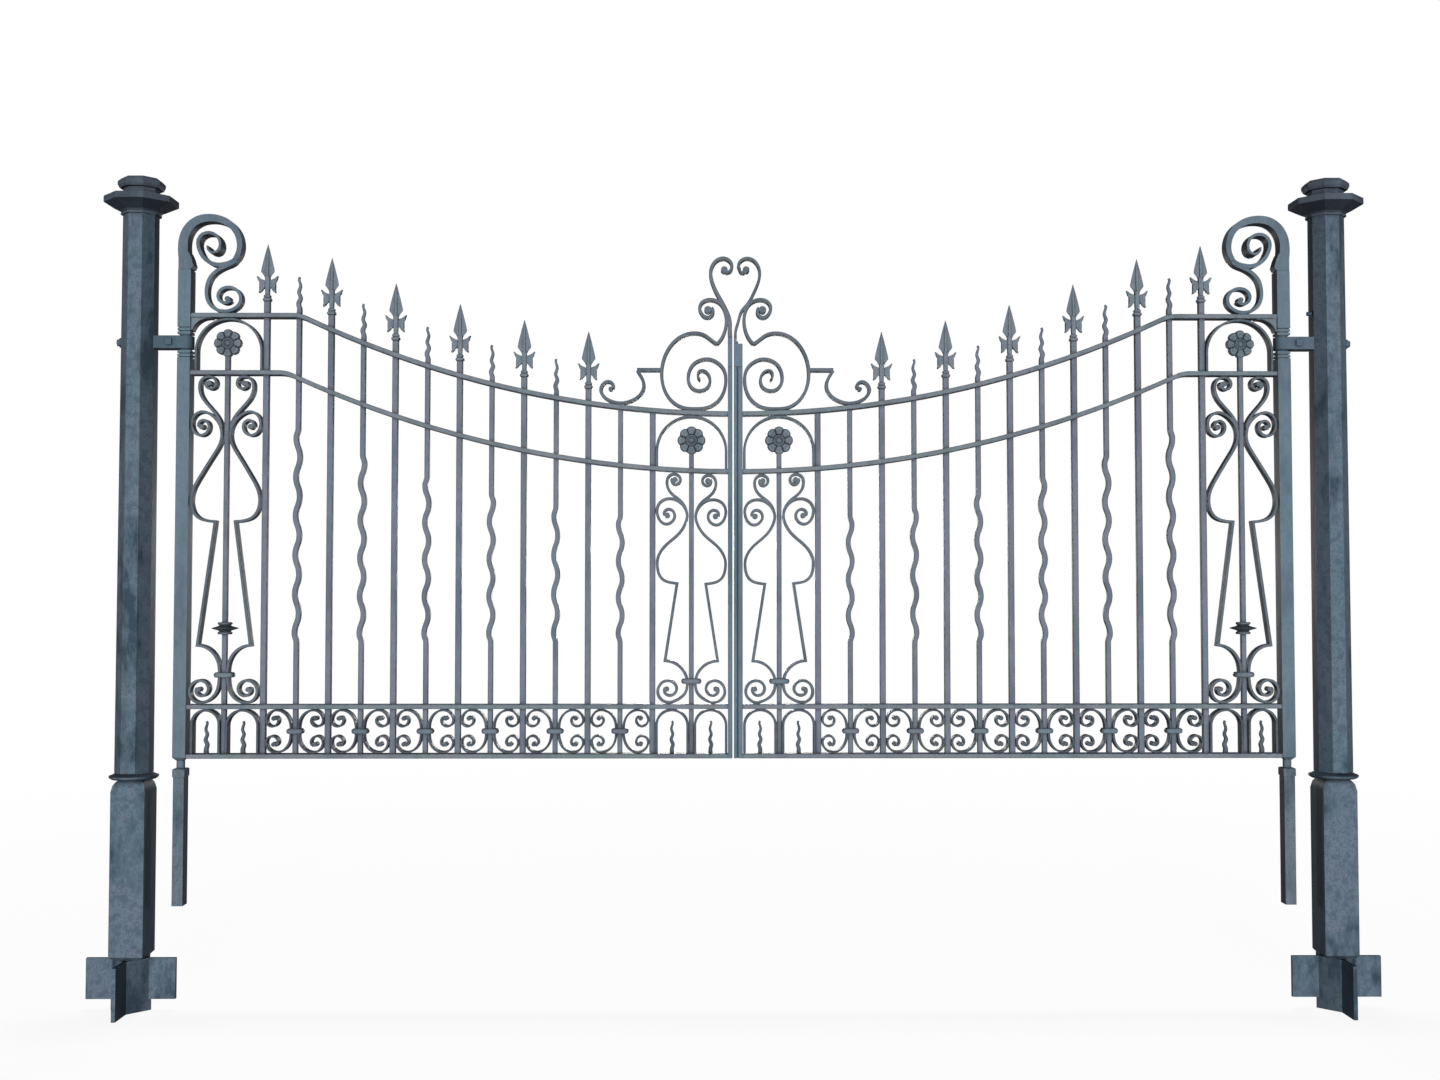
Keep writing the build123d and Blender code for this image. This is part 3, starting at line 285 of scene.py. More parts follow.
def make_pits():
    """Mask and height of the pits; a higher Spread makes the pitted areas larger."""
    group, given, out = new_group(
        "Rust pits", {"Size": 1.0, "Spread": 0.3, "Depth": 1.0},
        {"Mask": "NodeSocketFloat", "Height": "NodeSocketFloat"})
    cells = add(group, "ShaderNodeTexVoronoi",
                [("Vector", iron_coordinates(group)),
                 ("Scale", combined(group, PIT_CELLS, given.outputs["Size"], "DIVIDE"))])
    holes = ramp(group, cells.outputs["Distance"], *PIT_RIM, 1.0, 0.0)
    begins = combined(group, RUST_PEAK, given.outputs["Spread"], "SUBTRACT")
    areas = ramp(group, pattern(group, "rusty areas"), begins, RUST_PEAK)
    mask = times(group, holes, areas)
    group.links.new(mask, out.inputs["Mask"])
    sunk = times(group, mask, given.outputs["Depth"])
    group.links.new(combined(group, 0.0, sunk, "SUBTRACT"), out.inputs["Height"])
    return group


keep("pits", make_pits())

# %% [markdown]
# ## Hammered face
# A bar drawn out under the hammer stays slightly dented, and brushed paint adds a fine grain.
# Both are far shallower than a facet of the mesh, so they only tilt the light: the group gives
# a height, and each material's Bump node turns it into a tilt.


# %% Group: hammer marks and brush marks
GRAIN_HEIGHT = 0.12           # of the height of a dent


def make_hammering():
    """Height of the dents and of the brush marks."""
    group, given, out = new_group(
        "Hammered face", {"Dents": 1.0, "Grain": 1.0}, {"Height": "NodeSocketFloat"})
    dents = times(group, pattern(group, "dents"), given.outputs["Dents"])
    grain = times(group, pattern(group, "grain"), given.outputs["Grain"])
    group.links.new(combined(group, dents, times(group, grain, GRAIN_HEIGHT)),
                    out.inputs["Height"])
    return group


keep("hammer", make_hammering())

# %% [markdown]
# ## Worn edges with painted light and shade
# Hands, chains and weather take the paint off edges first.  The edge colour is partly that wear
# and partly painted light: thick paint gets lighter edges, a painted highlight along them, while
# thin bars and scrolls get dark edges, bare iron together with painted shade that outlines each
# one.  The Bevel node compares a softened normal with the face's own, which finds edges on any
# shape.  Noise breaks the line, because no edge wears evenly.


# %% Group: worn edges, with painted highlight and painted shade
EDGE_TURN = (0.99, 0.88)      # cosine of the normal's turn: edge begins, edge in full
EDGE_SAMPLES = 4


def make_worn_edges_with_painted_light():
    """Mask of the edges, Width metres wide."""
    group, given, out = new_group(
        "Worn edges, painted light and shade", {"Width": 1.5 * MM, "Wear": 0.6}, {"Mask": "NodeSocketFloat"})
    rounded = add(group, "ShaderNodeBevel", [("Radius", given.outputs["Width"])],
                  samples=EDGE_SAMPLES)
    face = add(group, "ShaderNodeNewGeometry")
    turn = add(group, "ShaderNodeVectorMath",
               [(0, rounded.outputs[0]), (1, face.outputs["True Normal"])],
               operation="DOT_PRODUCT")
    edge = ramp(group, turn.outputs["Value"], *EDGE_TURN)
    broken = times(group, edge, patches(group, "broken edges"))
    group.links.new(times(group, broken, given.outputs["Wear"]), out.inputs["Mask"])
    return group


keep("edges", make_worn_edges_with_painted_light())

# %% [markdown]
# ## Painted shade
# Shade is painted into the colour: in the hollows between curls and bars, and on the narrow
# sides that face along the gate or up and down.  Those dark sides draw the pattern when the
# gate is seen from the street.  Ambient Occlusion finds the hollows.  The sides are found by the
# direction they face in the iron's own space, so they stay dark when a leaf swings; light alone
# could not do that.


# %% Group: painted shade in hollows and on flanks
SHADE_REACH = 12 * MM
HOLLOW_OPENNESS = (0.95, 0.45)  # share of open sky: painted shade begins, painted shade in full
FLANK_BEGINS = 0.98           # share of the normal that points to the front or the back
HOLLOW_SAMPLES = 8


def make_painted_shade():
    """Mask of the painted shade in hollows and on flanks, whichever is stronger.

    The flanks are as dark as they get where the surface has turned from the front until only
    Turn of its normal still points to the front or the back.
    """
    group, given, out = new_group(
        "Painted shade in hollows and flanks", {"Reach": SHADE_REACH, "Hollows": 0.7, "Flanks": 0.8, "Turn": 0.25},
        {"Mask": "NodeSocketFloat"})
    hollow = add(group, "ShaderNodeAmbientOcclusion", [("Distance", given.outputs["Reach"])],
                 samples=HOLLOW_SAMPLES)
    hollows = times(group, ramp(group, hollow.outputs["AO"], *HOLLOW_OPENNESS),
                    given.outputs["Hollows"])
    place = add(group, "ShaderNodeTexCoord")
    axes = add(group, "ShaderNodeSeparateXYZ", [(0, place.outputs["Normal"])])
    facing = add(group, "ShaderNodeMath", [(0, axes.outputs["Y"])], operation="ABSOLUTE")
    flanks = times(group, ramp(group, facing.outputs[0], FLANK_BEGINS, given.outputs["Turn"]),
                   given.outputs["Flanks"])
    group.links.new(combined(group, hollows, flanks, "MAXIMUM"), out.inputs["Mask"])
    return group


keep("painted_shade", make_painted_shade())

# %% [markdown]
# ## From groups to materials
# Wrought bars, cast posts and the stakes that stood in damp ground share one paint but wear it
# differently.  One material with masks for every kind would be hard to read, so each kind has
# its own, made by one function.  Every material keeps its own Principled shader; the groups
# feed its colour, its roughness and the height of one Bump node.  The green and violet casts,
# the painted shade and the edge colours are the paint itself with its channels scaled: the
# light edges carry a painted highlight, the dark ones painted shade.


# %% Materials
def cast(paint, share):
    """The paint with each of its three channels scaled."""
    return tuple(value * scale for value, scale in zip(paint, share))


GREEN = (0.78, 0.95, 0.90)
VIOLET = (1.12, 0.96, 1.04)
# painted highlight with wear: the lighter share of the paint on the edges of thick paint
RUBBED_AND_HIGHLIGHT = (1.45, 1.35, 1.28)
# painted shade with wear: the dark bare-iron share on the edges of thin iron
BARE_AND_SHADED = (0.12, 0.11, 0.11)
# painted shade: the dark share of the paint that hollows and flanks take
PAINTED_SHADE_TINT = (0.14, 0.14, 0.15)
PIT_BOTTOM = (0.022, 0.022, 0.024)  # a colour of its own, not a share of the paint
GLOSS_SWING = (-0.06, 0.08)   # roughness of unworn and of rain-dulled paint, from the mean
PIT_ROUGHNESS = 0.25          # added in the pits
RELIEF_DEPTH = 0.6 * MM
SHEEN = 0.005


def painted_iron(name, paint, clouds=0.6, soot=0.35, streaks=0.25, pit_size=0.8,
                 pit_spread=0.2, pit_depth=0.8, dents=0.8, grain=0.6, edge_wear_and_light=0.5,
                 roughness=0.55, bump=0.4, flanks=0.85, turn=0.25, hollows=0.7,
                 edge=RUBBED_AND_HIGHLIGHT, edge_width=1.5):
    """One painted iron finish; edge_width is in millimetres."""
    material = bpy.data.materials.new(name)
    material.use_nodes = True
    tree = material.node_tree
    shader = tree.nodes["Principled BSDF"]

    def placed(key, **values):
        """A group in this material, with its inputs set; _ in a name stands for a space."""
        node = add(tree, "ShaderNodeGroup", node_tree=GROUPS[key], label=GROUPS[key].name)
        for label, value in values.items():
            is_colour = isinstance(value, tuple)
            node.inputs[label.replace("_", " ")].default_value = (
                (*value, 1.0) if is_colour else value)
        return node

    tone = placed("paint", Paint=paint, Green_cast=cast(paint, GREEN),
                  Violet_cast=cast(paint, VIOLET), Clouds=clouds, Soot=soot, Streaks=streaks)
    pits = placed("pits", Size=pit_size, Spread=pit_spread, Depth=pit_depth)
    hammer = placed("hammer", Dents=dents, Grain=grain)
    # edge mask: worn paint in the material's edge colour, a painted highlight when light and
    # painted shade when dark
    edges = placed("edges", Wear=edge_wear_and_light, Width=edge_width * MM)
    # painted shade in hollows and on flanks that face along the gate or up and down
    painted_shade = placed("painted_shade", Flanks=flanks, Turn=turn, Hollows=hollows)
    with_painted_shade = mixed(tree, painted_shade.outputs["Mask"], tone.outputs["Color"], cast(paint, PAINTED_SHADE_TINT))
    edged_with_wear_and_light = mixed(tree, edges.outputs["Mask"], with_painted_shade, cast(paint, edge))
    colour = mixed(tree, pits.outputs["Mask"], edged_with_wear_and_light, PIT_BOTTOM)
    tree.links.new(colour, shader.inputs["Base Color"])
    glossiest, dullest = (roughness + swing for swing in GLOSS_SWING)
    dull = ramp(tree, tone.outputs["Rubbed"], 0.0, 1.0, glossiest, dullest)
    pitted = combined(tree, dull, times(tree, pits.outputs["Mask"], PIT_ROUGHNESS))
    tree.links.new(pitted, shader.inputs["Roughness"])
    height = combined(tree, hammer.outputs["Height"], pits.outputs["Height"])
    relief = add(tree, "ShaderNodeBump",
                 [("Height", height), ("Strength", bump), ("Distance", RELIEF_DEPTH)])
    tree.links.new(relief.outputs[0], shader.inputs["Normal"])
    shader.inputs["Metallic"].default_value = 0.0
    shader.inputs["Specular IOR Level"].default_value = SHEEN
    return material


THIN = {"edge": BARE_AND_SHADED, "edge_width": 5.4, "edge_wear_and_light": 1.0}  # thin iron: dark edges, partly bare iron and partly painted shade
STILE = painted_iron("slate paint on stiles", (0.148, 0.202, 0.250), dents=1.0)
CROOK = painted_iron("slate paint on crooks", (0.142, 0.188, 0.232), dents=1.0)
RAIL = painted_iron("slate paint on rails", (0.202, 0.232, 0.264), pit_spread=0.24, **THIN)
BAR = painted_iron("slate paint on bars", (0.188, 0.208, 0.256), pit_spread=0.24, **THIN)
SCROLL = painted_iron("slate paint on scrolls", (0.152, 0.178, 0.208), soot=0.4, **THIN)
# a darker copy of the scroll paint: painted shade for these thin, dark-edged scrolls
SHADED_DADO = painted_iron("slate paint on dado scrolls", (0.122, 0.144, 0.170), soot=0.5, **THIN)
HINGE = painted_iron("slate paint on hinge iron", (0.106, 0.146, 0.190), pit_spread=0.26,
                     pit_size=1.0, pit_depth=1.0, dents=1.2)
# ornaments get painted shade deep in their hollows and dark painted-shade edges
ORNAMENT = painted_iron("slate paint on ornaments", (0.190, 0.226, 0.266), pit_spread=0.22,
                        dents=0.4, grain=1.2, roughness=0.5, hollows=0.95, edge=BARE_AND_SHADED,
                        edge_width=2.4, edge_wear_and_light=0.8)
# the post's facets turned away from the front get strong painted shade (flanks, turn)
POST = painted_iron("slate paint on posts", (0.134, 0.180, 0.230), clouds=0.8, soot=0.95,
                    streaks=0.4, pit_size=1.6, pit_spread=0.3, pit_depth=1.2, dents=0.8,
                    grain=1.4, edge_wear_and_light=0.7, bump=0.5, flanks=0.9, turn=0.5)
CAPITAL = painted_iron("slate paint on capitals", (0.092, 0.112, 0.142), clouds=0.8, soot=0.5,
                       pit_size=1.4, pit_spread=0.3, grain=1.4, edge_wear_and_light=0.8, bump=0.5, flanks=0.85,
                       turn=0.35)
STAKE = painted_iron("thin paint on stakes", (0.150, 0.188, 0.226), clouds=0.8, soot=0.6,
                     streaks=0.5, pit_size=1.8, pit_spread=0.4, pit_depth=1.4, grain=1.6,
                     edge_wear_and_light=0.5, roughness=0.6, bump=0.6, flanks=0.95)
FINISHES = {
    "post": POST, "post_capital": CAPITAL, "heel_stake": STAKE, "hinge_strap": HINGE,
    "hinge_anchor": HINGE, "hinge_fasteners": HINGE, "hanging_stile": STILE,
    "meeting_stile": STILE, "crook": CROOK, "top_rail": RAIL, "lower_rail": RAIL,
    "dado_rails": RAIL, "upright_bars": BAR, "wavy_bars": BAR, "spear_heads": ORNAMENT,
    "rosettes": ORNAMENT, "collars": ORNAMENT, "dado_scrolls": SHADED_DADO, "dado_arches": SHADED_DADO,
}


def finish(piece, kind):
    """Give a piece the finish of its kind; scrolls and arches share one."""
    piece.data.materials.clear()
    piece.data.materials.append(FINISHES.get(kind, SCROLL))


for name, piece in nodes.items():
    finish(piece, name.split("_", 1)[1])
print("finished", len(nodes), "construction pieces")

# %% [markdown]
# ## Where the ornaments sit
# Each construction piece of ornaments holds several separate castings.  Their own boxes say
# where each one stands, so the finer ones made below drop into the same places.


# %% Boxes of separate castings
def castings(name):
    """Lowest and highest corner of each separate solid in a construction piece."""
    shape = bmesh.new()
    shape.from_mesh(nodes[name].data)
    bmesh.ops.remove_doubles(shape, verts=shape.verts, dist=SAME_POINT)
    waiting = set(shape.verts)
    boxes = []
    while waiting:
        found = [waiting.pop()]
        for vert in found:
            near = {edge.other_vert(vert) for edge in vert.link_edges} & waiting
            waiting -= near
            found.extend(near)
        places = [vert.co for vert in found]
        low = Vector(min(place[axis] for place in places) for axis in range(3))
        high = Vector(max(place[axis] for place in places) for axis in range(3))
        boxes.append((low, high))
    shape.free()
    return sorted(boxes, key=lambda box: (round(box[0].x, 3), box[0].z))


def middle(box):
    """Centre of a box."""
    return (box[0] + box[1]) / 2


for side in SIDES:
    print(side, "spear heads:", len(castings(f"{side}_spear_heads")),
          "rosettes:", len(castings(f"{side}_rosettes")),
          "collars:", len(castings(f"{side}_collars")))

# %% [markdown]
# ## Shapes from stacked rings
# A forged point, a collar and a turned knop are all a pile of closed rings, one above the
# other.  One helper joins the rings with faces and closes the two ends.  It works in
# millimetres, which suits small ornaments, and returns its corners so that a piece can be
# bevelled or moved while it is built.


# %% Rings and their joining faces
RING_STEPS = 32
CREASE_ABOVE = 32.0           # degrees between two faces whose edge stays sharp


def stack_rings(shape, rings, looped=False):
    """Join rings of (x, y, z) places, in millimetres, with faces; all have equal counts.

    The two ends are closed, or joined to each other when looped.
    """
    rows = [[shape.verts.new(Vector(place) * MM) for place in ring] for ring in rings]
    pairs = list(zip(rows, rows[1:]))
    if looped:
        pairs.append((rows[-1], rows[0]))
    for low, high in pairs:
        count = len(low)
        for i in range(count):
            j = (i + 1) % count
            shape.faces.new((low[i], low[j], high[j], high[i]))
    if not looped:
        shape.faces.new(reversed(rows[0]))
        shape.faces.new(rows[-1])
    return rows


def rounded_square(half_x, half_y, z, power=4.0):
    """Ring between a circle (power 2) and a square (high power)."""
    ring = []
    for i in range(RING_STEPS):
        angle = 2 * math.pi * (i + 0.5) / RING_STEPS
        c, s = math.cos(angle), math.sin(angle)
        reach = (abs(c) ** power + abs(s) ** power) ** (-1 / power)
        ring.append((half_x * reach * c, half_y * reach * s, z))
    return ring


def into_scene(name, shape):
    """Turn a built shape into a smooth-shaded piece with its sharp creases kept."""
    bmesh.ops.recalc_face_normals(shape, faces=shape.faces)
    for face in shape.faces:
        face.smooth = True
    for edge in shape.edges:
        if len(edge.link_faces) == 2:
            edge.smooth = edge.calc_face_angle(0.0) < math.radians(CREASE_ABOVE)
    mesh = bpy.data.meshes.new(name)
    shape.to_mesh(mesh)
    shape.free()
    piece = bpy.data.objects.new(name, mesh)
    bpy.context.scene.collection.objects.link(piece)
    return piece


def repeat_at(name, shape, places):
    """One piece with a copy of the shape at every place."""
    whole = bmesh.new()
    mesh = bpy.data.meshes.new("copy")
    shape.to_mesh(mesh)
    shape.free()
    for place in places:
        start = len(whole.verts)
        whole.from_mesh(mesh)
        whole.verts.ensure_lookup_table()
        bmesh.ops.translate(whole, verts=whole.verts[start:], vec=place)
    bpy.data.meshes.remove(mesh)
    return into_scene(name, whole)


def stands_for(piece, side, node_kind):
    """Put a new ornament in the leaf, in place of its construction piece."""
    node_name = f"{side}_{node_kind}"
    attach(piece, f"{side}_leaf")
    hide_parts(node_name)
    finish(piece, node_kind)
    print(piece.name, "faces:", len(piece.data.polygons))


print("ring helpers ready")

# %% [markdown]
# ## Spear heads
# Each tall bar ends in a cast spear: a leaf-shaped blade with a raised rib down both faces, two
# swallow-tailed barbs and a moulded collar.  A smith could forge it, but a foundry cast these.
# The blade is a pile of rings, each the outline of one level cut: two thin hollowed wings and
# a rib with steep sides, which draws a dark line up the middle.


# %% Spear head
BLADE_STATIONS = [  # height from the point, half width, half depth of the rib
    (0.0, 0.7, 0.6), (-6, 2.3, 1.8), (-15, 4.9, 3.2), (-28, 8.5, 4.4), (-42, 12.1, 5.4),
    (-56, 15.6, 6.2), (-70, 18.9, 6.8), (-82, 21.5, 7.3), (-88, 22.4, 7.6), (-91, 22.2, 7.8),
    (-95, 19.4, 8.1), (-101, 14.8, 8.3), (-106, 11.6, 8.4), (-110, 9.8, 8.5)]
STEM_STATIONS = [  # height from the point, half width of the rounded square
    (-106, 8.4), (-114, 8.4), (-124, 8.3), (-140, 8.2), (-152, 7.8), (-162, 7.2), (-167, 7.3),
    (-168.5, 9.6), (-170.5, 11.0), (-173, 11.4), (-175.5, 11.0), (-177, 9.8), (-178, 9.8),
    (-179.5, 12.6), (-182, 13.8), (-185, 13.9), (-188, 12.8), (-190, 9.8)]
BARB_OUTLINE = [  # right-hand barb, from the stem round the upper and lower points
    (6.0, -121), (11, -120.5), (17.5, -118.5), (24.5, -112.5), (30.5, -106.5), (35.0, -105.0),
    (36.0, -107.5), (33.2, -112), (29.6, -118), (26.8, -126), (25.2, -135), (25.2, -145),
    (27.0, -153), (29.4, -159.5), (27.6, -161.5), (22.5, -159.5), (17.2, -155.0),
    (13.2, -148.5), (10.8, -143.5), (6.0, -142.0)]
BARB_HALF_DEPTH = 5.5
BARB_EDGE = 2.6
BARB_EDGE_STEPS = 3
BLADE_EDGE = 0.35             # half thickness of the blade at its rim
RIB_WIDEST = 4.2              # half width of the rib; near the point it is a share instead
RIB_SHARE = 0.42              # of the blade's half width
RIB_FOOT, RIB_CREST = 0.5, -0.4  # added to the rib's half width where it starts and ends
ROOT_THINNEST = 0.5           # half thickness of the wings where they meet the rib
ROOT_SHARE = 0.55             # of the rib's half depth
HOLLOW_SHARES = (0.62, 0.38)  # of rim and rib: where the wings are hollowed most
HOLLOW_DEPTH = 0.42           # half thickness there, as a share of the root's
STEM_POWER = 6.0


def blade_ring(half_x, rib_depth, z):
    """Level cut through the blade: hollowed wings and a rib with steep sides."""
    rib = min(RIB_WIDEST, half_x * RIB_SHARE)
    root = max(ROOT_THINNEST, rib_depth * ROOT_SHARE)
    hollow = half_x * HOLLOW_SHARES[0] + rib * HOLLOW_SHARES[1]
    quarter = [(half_x, BLADE_EDGE), (hollow, root * HOLLOW_DEPTH), (rib + RIB_FOOT, root),
               (rib + RIB_CREST, rib_depth)]
    right_front = [(x, -y) for x, y in quarter]
    left_front = [(-x, -y) for x, y in reversed(quarter)]
    left_back = [(-x, y) for x, y in quarter]
    right_back = [(x, y) for x, y in reversed(quarter)]
    return [(x, y, z) for x, y in right_front + left_front + left_back + right_back]


def add_barb(shape, side):
    """A flat barb whose edges are chamfered all round."""
    outline = [(side * x, z) for x, z in BARB_OUTLINE]
    rings = [[(x, y, z) for x, z in outline] for y in (-BARB_HALF_DEPTH, BARB_HALF_DEPTH)]
    rows = stack_rings(shape, rings)
    rim = [edge for row in rows for vert in row for edge in vert.link_edges
           if edge.other_vert(vert) in row]
    bmesh.ops.bevel(shape, geom=list(dict.fromkeys(rim)), offset=BARB_EDGE * MM,
                    segments=BARB_EDGE_STEPS, profile=0.5, affect="EDGES", clamp_overlap=True)


def spear_head():
    """One cast head, with its point in the origin."""
    shape = bmesh.new()
    stack_rings(shape, [blade_ring(width, depth, z)
                        for z, width, depth in reversed(BLADE_STATIONS)])
    stack_rings(shape, [rounded_square(width, width, z, STEM_POWER)
                        for z, width in reversed(STEM_STATIONS)])
    for side in (-1, 1):
        add_barb(shape, side)
    return shape


for side in SIDES:
    points = [Vector(((low.x + high.x) / 2, 0.0, high.z))
              for low, high in castings(f"{side}_spear_heads")]
    stands_for(repeat_at(f"{side}_cast_spear_heads", spear_head(), points), side, "spear_heads")

# %% [markdown]
# ## Rosettes
# The four flowers are iron castings with eight cupped petals round a ring and a button.  They
# could be carved with bevels, but their shape is easiest to say as a height over a round
# grid: for each place on the flower, how far its face stands out from the middle.  The same
# height is used in front and behind.


# %% Rosette
PETALS = 8
PETAL_CENTRE = 27.0           # from the flower's middle, in millimetres like all below
PETAL_RADIUS = 19.0
ROSETTE_STEPS = 128
ROSETTE_ROWS = 40
BUTTON_HEIGHT, BUTTON_RADIUS, BUTTON_END = 11.8, 10.5, 9.4
RING_HEIGHT, RING_DROP, RING_POWER = 11.2, 3.4, 2.2
RING_MIDDLE, RING_HALF_WIDTH = 15.8, 3.2
RING_RADII = (12.2, 19.4)
CUP_FLOOR, CUP_RISE = 7.2, 3.2
CUP_SLOPE = (2.5, 11.0)       # from the petal's middle: floor ends, brim begins
FOLD_DEPTH = 4.4              # of the valley between two petals
FOLD_SHARES = (0.78, 1.0)     # of the way from a petal's middle line to the next valley
FOLD_RADII = (18.0, 24.0)     # where the valley begins and has its full depth
BRIM_DROP, BRIM_WIDTH = 5.0, 3.6
MOAT_RADIUS, MOAT_HEIGHT = 20.0, 6.6
THINNEST = 1.5


def smooth_step(low, high, value):
    """0 below low, 1 above high and a soft slope between them."""
    share = min(1.0, max(0.0, (value - low) / (high - low)))
    return share * share * (3 - 2 * share)


def petal_angle(angle):
    """Angle from the nearest petal's middle line."""
    pitch = 2 * math.pi / PETALS
    return (angle - math.pi / 2 + pitch / 2) % pitch - pitch / 2


def rosette_reach(angle):
    """Radius of the scalloped outline."""
    off = petal_angle(angle)
    across = PETAL_CENTRE * math.sin(off)
    return PETAL_CENTRE * math.cos(off) + math.sqrt(PETAL_RADIUS ** 2 - across ** 2)


def rosette_height(radius, angle):
    """Half thickness of the flower at a place on its face."""
    off = petal_angle(angle)
    reach = rosette_reach(angle)
    button = ring = 0.0
    if radius < BUTTON_END:
        button = BUTTON_HEIGHT * math.sqrt(max(0.0, 1 - (radius / BUTTON_RADIUS) ** 2))
    if RING_RADII[0] < radius < RING_RADII[1]:
        off_ring = abs((radius - RING_MIDDLE) / RING_HALF_WIDTH)
        ring = RING_HEIGHT - RING_DROP * off_ring ** RING_POWER
    from_petal = math.hypot(radius * math.cos(off) - PETAL_CENTRE, radius * math.sin(off))
    cup = CUP_FLOOR + CUP_RISE * smooth_step(*CUP_SLOPE, from_petal)
    fold = abs(off) / (math.pi / PETALS)
    cup -= FOLD_DEPTH * smooth_step(*FOLD_SHARES, fold) * smooth_step(*FOLD_RADII, radius)
    cup -= BRIM_DROP * smooth_step(reach - BRIM_WIDTH, reach, radius)
    if radius < MOAT_RADIUS:
        cup = min(cup, MOAT_HEIGHT)
    return max(button, ring, cup, THINNEST)


def rosette():
    """One flower with its middle in the origin, alike in front and behind."""
    shape = bmesh.new()
    rows = {}
    for face_side in (-1, 1):
        centre = shape.verts.new((0, face_side * rosette_height(0.0, 0.0) * MM, 0))
        rings = []
        for row in range(1, ROSETTE_ROWS + 1):
            ring = []
            for step in range(ROSETTE_STEPS):
                angle = 2 * math.pi * step / ROSETTE_STEPS
                radius = rosette_reach(angle) * row / ROSETTE_ROWS
                height = face_side * rosette_height(radius, angle)
                ring.append(shape.verts.new(Vector((radius * math.cos(angle), height,
                                                    radius * math.sin(angle))) * MM))
            rings.append(ring)
        for step in range(ROSETTE_STEPS):
            after = (step + 1) % ROSETTE_STEPS
            shape.faces.new((centre, rings[0][step], rings[0][after]))
            for low, high in zip(rings, rings[1:]):
                shape.faces.new((low[step], high[step], high[after], low[after]))
        rows[face_side] = rings[-1]
    for step in range(ROSETTE_STEPS):
        after = (step + 1) % ROSETTE_STEPS
        shape.faces.new((rows[-1][step], rows[1][step], rows[1][after], rows[-1][after]))
    return shape


for side in SIDES:
    places = [middle(box) for box in castings(f"{side}_rosettes")]
    stands_for(repeat_at(f"{side}_cast_rosettes", rosette(), places), side, "rosettes")

# %% [markdown]
# ## Collars and knop
# Scrolls are tied to the bars with collars: short half-round bands that the smith closes hot,
# so that they grip as they cool.  The knop on the panel bar is turned, with a thin wide disc
# between two beads.  A plain block would do from afar, but the rounded band catches a line of
# light.  Both are rings again, with a way through for the bars.


# %% Collars and knop
COLLAR_BEAD = 6.5             # how far the half-round bead draws in at its two edges
COLLAR_FLATNESS = 0.7         # share of that on the front and the back
COLLAR_STEPS = 14
COLLAR_WALL = 5.0
COLLAR_ENDS = 2.2             # walls of thickness at the two ends of the band
KNOP_PROFILE = [  # share of the knop's radius, share of its half height
    (0.42, 1.0), (0.50, 0.97), (0.545, 0.86), (0.55, 0.74), (0.52, 0.62), (0.44, 0.55),
    (0.43, 0.46), (0.52, 0.36), (0.66, 0.26), (0.82, 0.17), (0.95, 0.08), (1.0, 0.0)]
KNOP_BORE = 7.4               # radius
KNOP_STEPS = 64


def add_collar(shape, box):
    """A half-round band that fills the box."""
    low, high = box
    size = (high - low) / MM
    place = middle(box) / MM
    rings = []
    for step in range(COLLAR_STEPS + 1):
        turn = math.pi * (step / COLLAR_STEPS - 0.5)
        drawn_in = COLLAR_BEAD * (1 - math.cos(turn))
        rings.append(rounded_square(size.x / 2 - drawn_in, size.y / 2 - drawn_in * COLLAR_FLATNESS,
                                    math.sin(turn) * size.z / 2))
    inner_x = size.x / 2 - COLLAR_ENDS * COLLAR_WALL
    inner_y = size.y / 2 - COLLAR_WALL
    rings.append(rounded_square(inner_x, inner_y, size.z / 2))
    rings.append(rounded_square(inner_x, inner_y, -size.z / 2))
    rings = [[(x + place.x, y + place.y, z + place.z) for x, y, z in ring] for ring in rings]
    stack_rings(shape, rings, looped=True)


def add_knop(shape, box):
    """A turned knop that fills the box, with a bore for its bar."""
    low, high = box
    size = (high - low) / MM
    place = middle(box) / MM
    upper = [(r * size.x / 2, share * size.z / 2) for r, share in KNOP_PROFILE]
    lower = [(r, -z) for r, z in reversed(upper[:-1])]
    profile = [(KNOP_BORE, size.z / 2)] + upper + lower + [(KNOP_BORE, -size.z / 2)]
    rings = [[(place.x + r * math.cos(2 * math.pi * i / KNOP_STEPS),
               place.y + r * math.sin(2 * math.pi * i / KNOP_STEPS), place.z + z)
              for i in range(KNOP_STEPS)] for r, z in profile]
    stack_rings(shape, rings, looped=True)


for side in SIDES:
    shape = bmesh.new()
    for box in castings(f"{side}_collars"):
        size = box[1] - box[0]
        add_knop(shape, box) if abs(size.x - size.y) < MM else add_collar(shape, box)
    stands_for(into_scene(f"{side}_moulded_collars", shape), side, "collars")

# %% [markdown]
# ## White studio
# The gate stands on a pale floor in front of a white background.  One broad lamp in front
# lights the faces.  A lamp just like it behind the gate lights the back, and weaker ones at
# both sides and above let an open leaf and the tops of the rails be seen.  They could be one
# bright sky instead, but a sky lights every side alike, and the pattern is drawn by edges
# that stay darker than the faces.


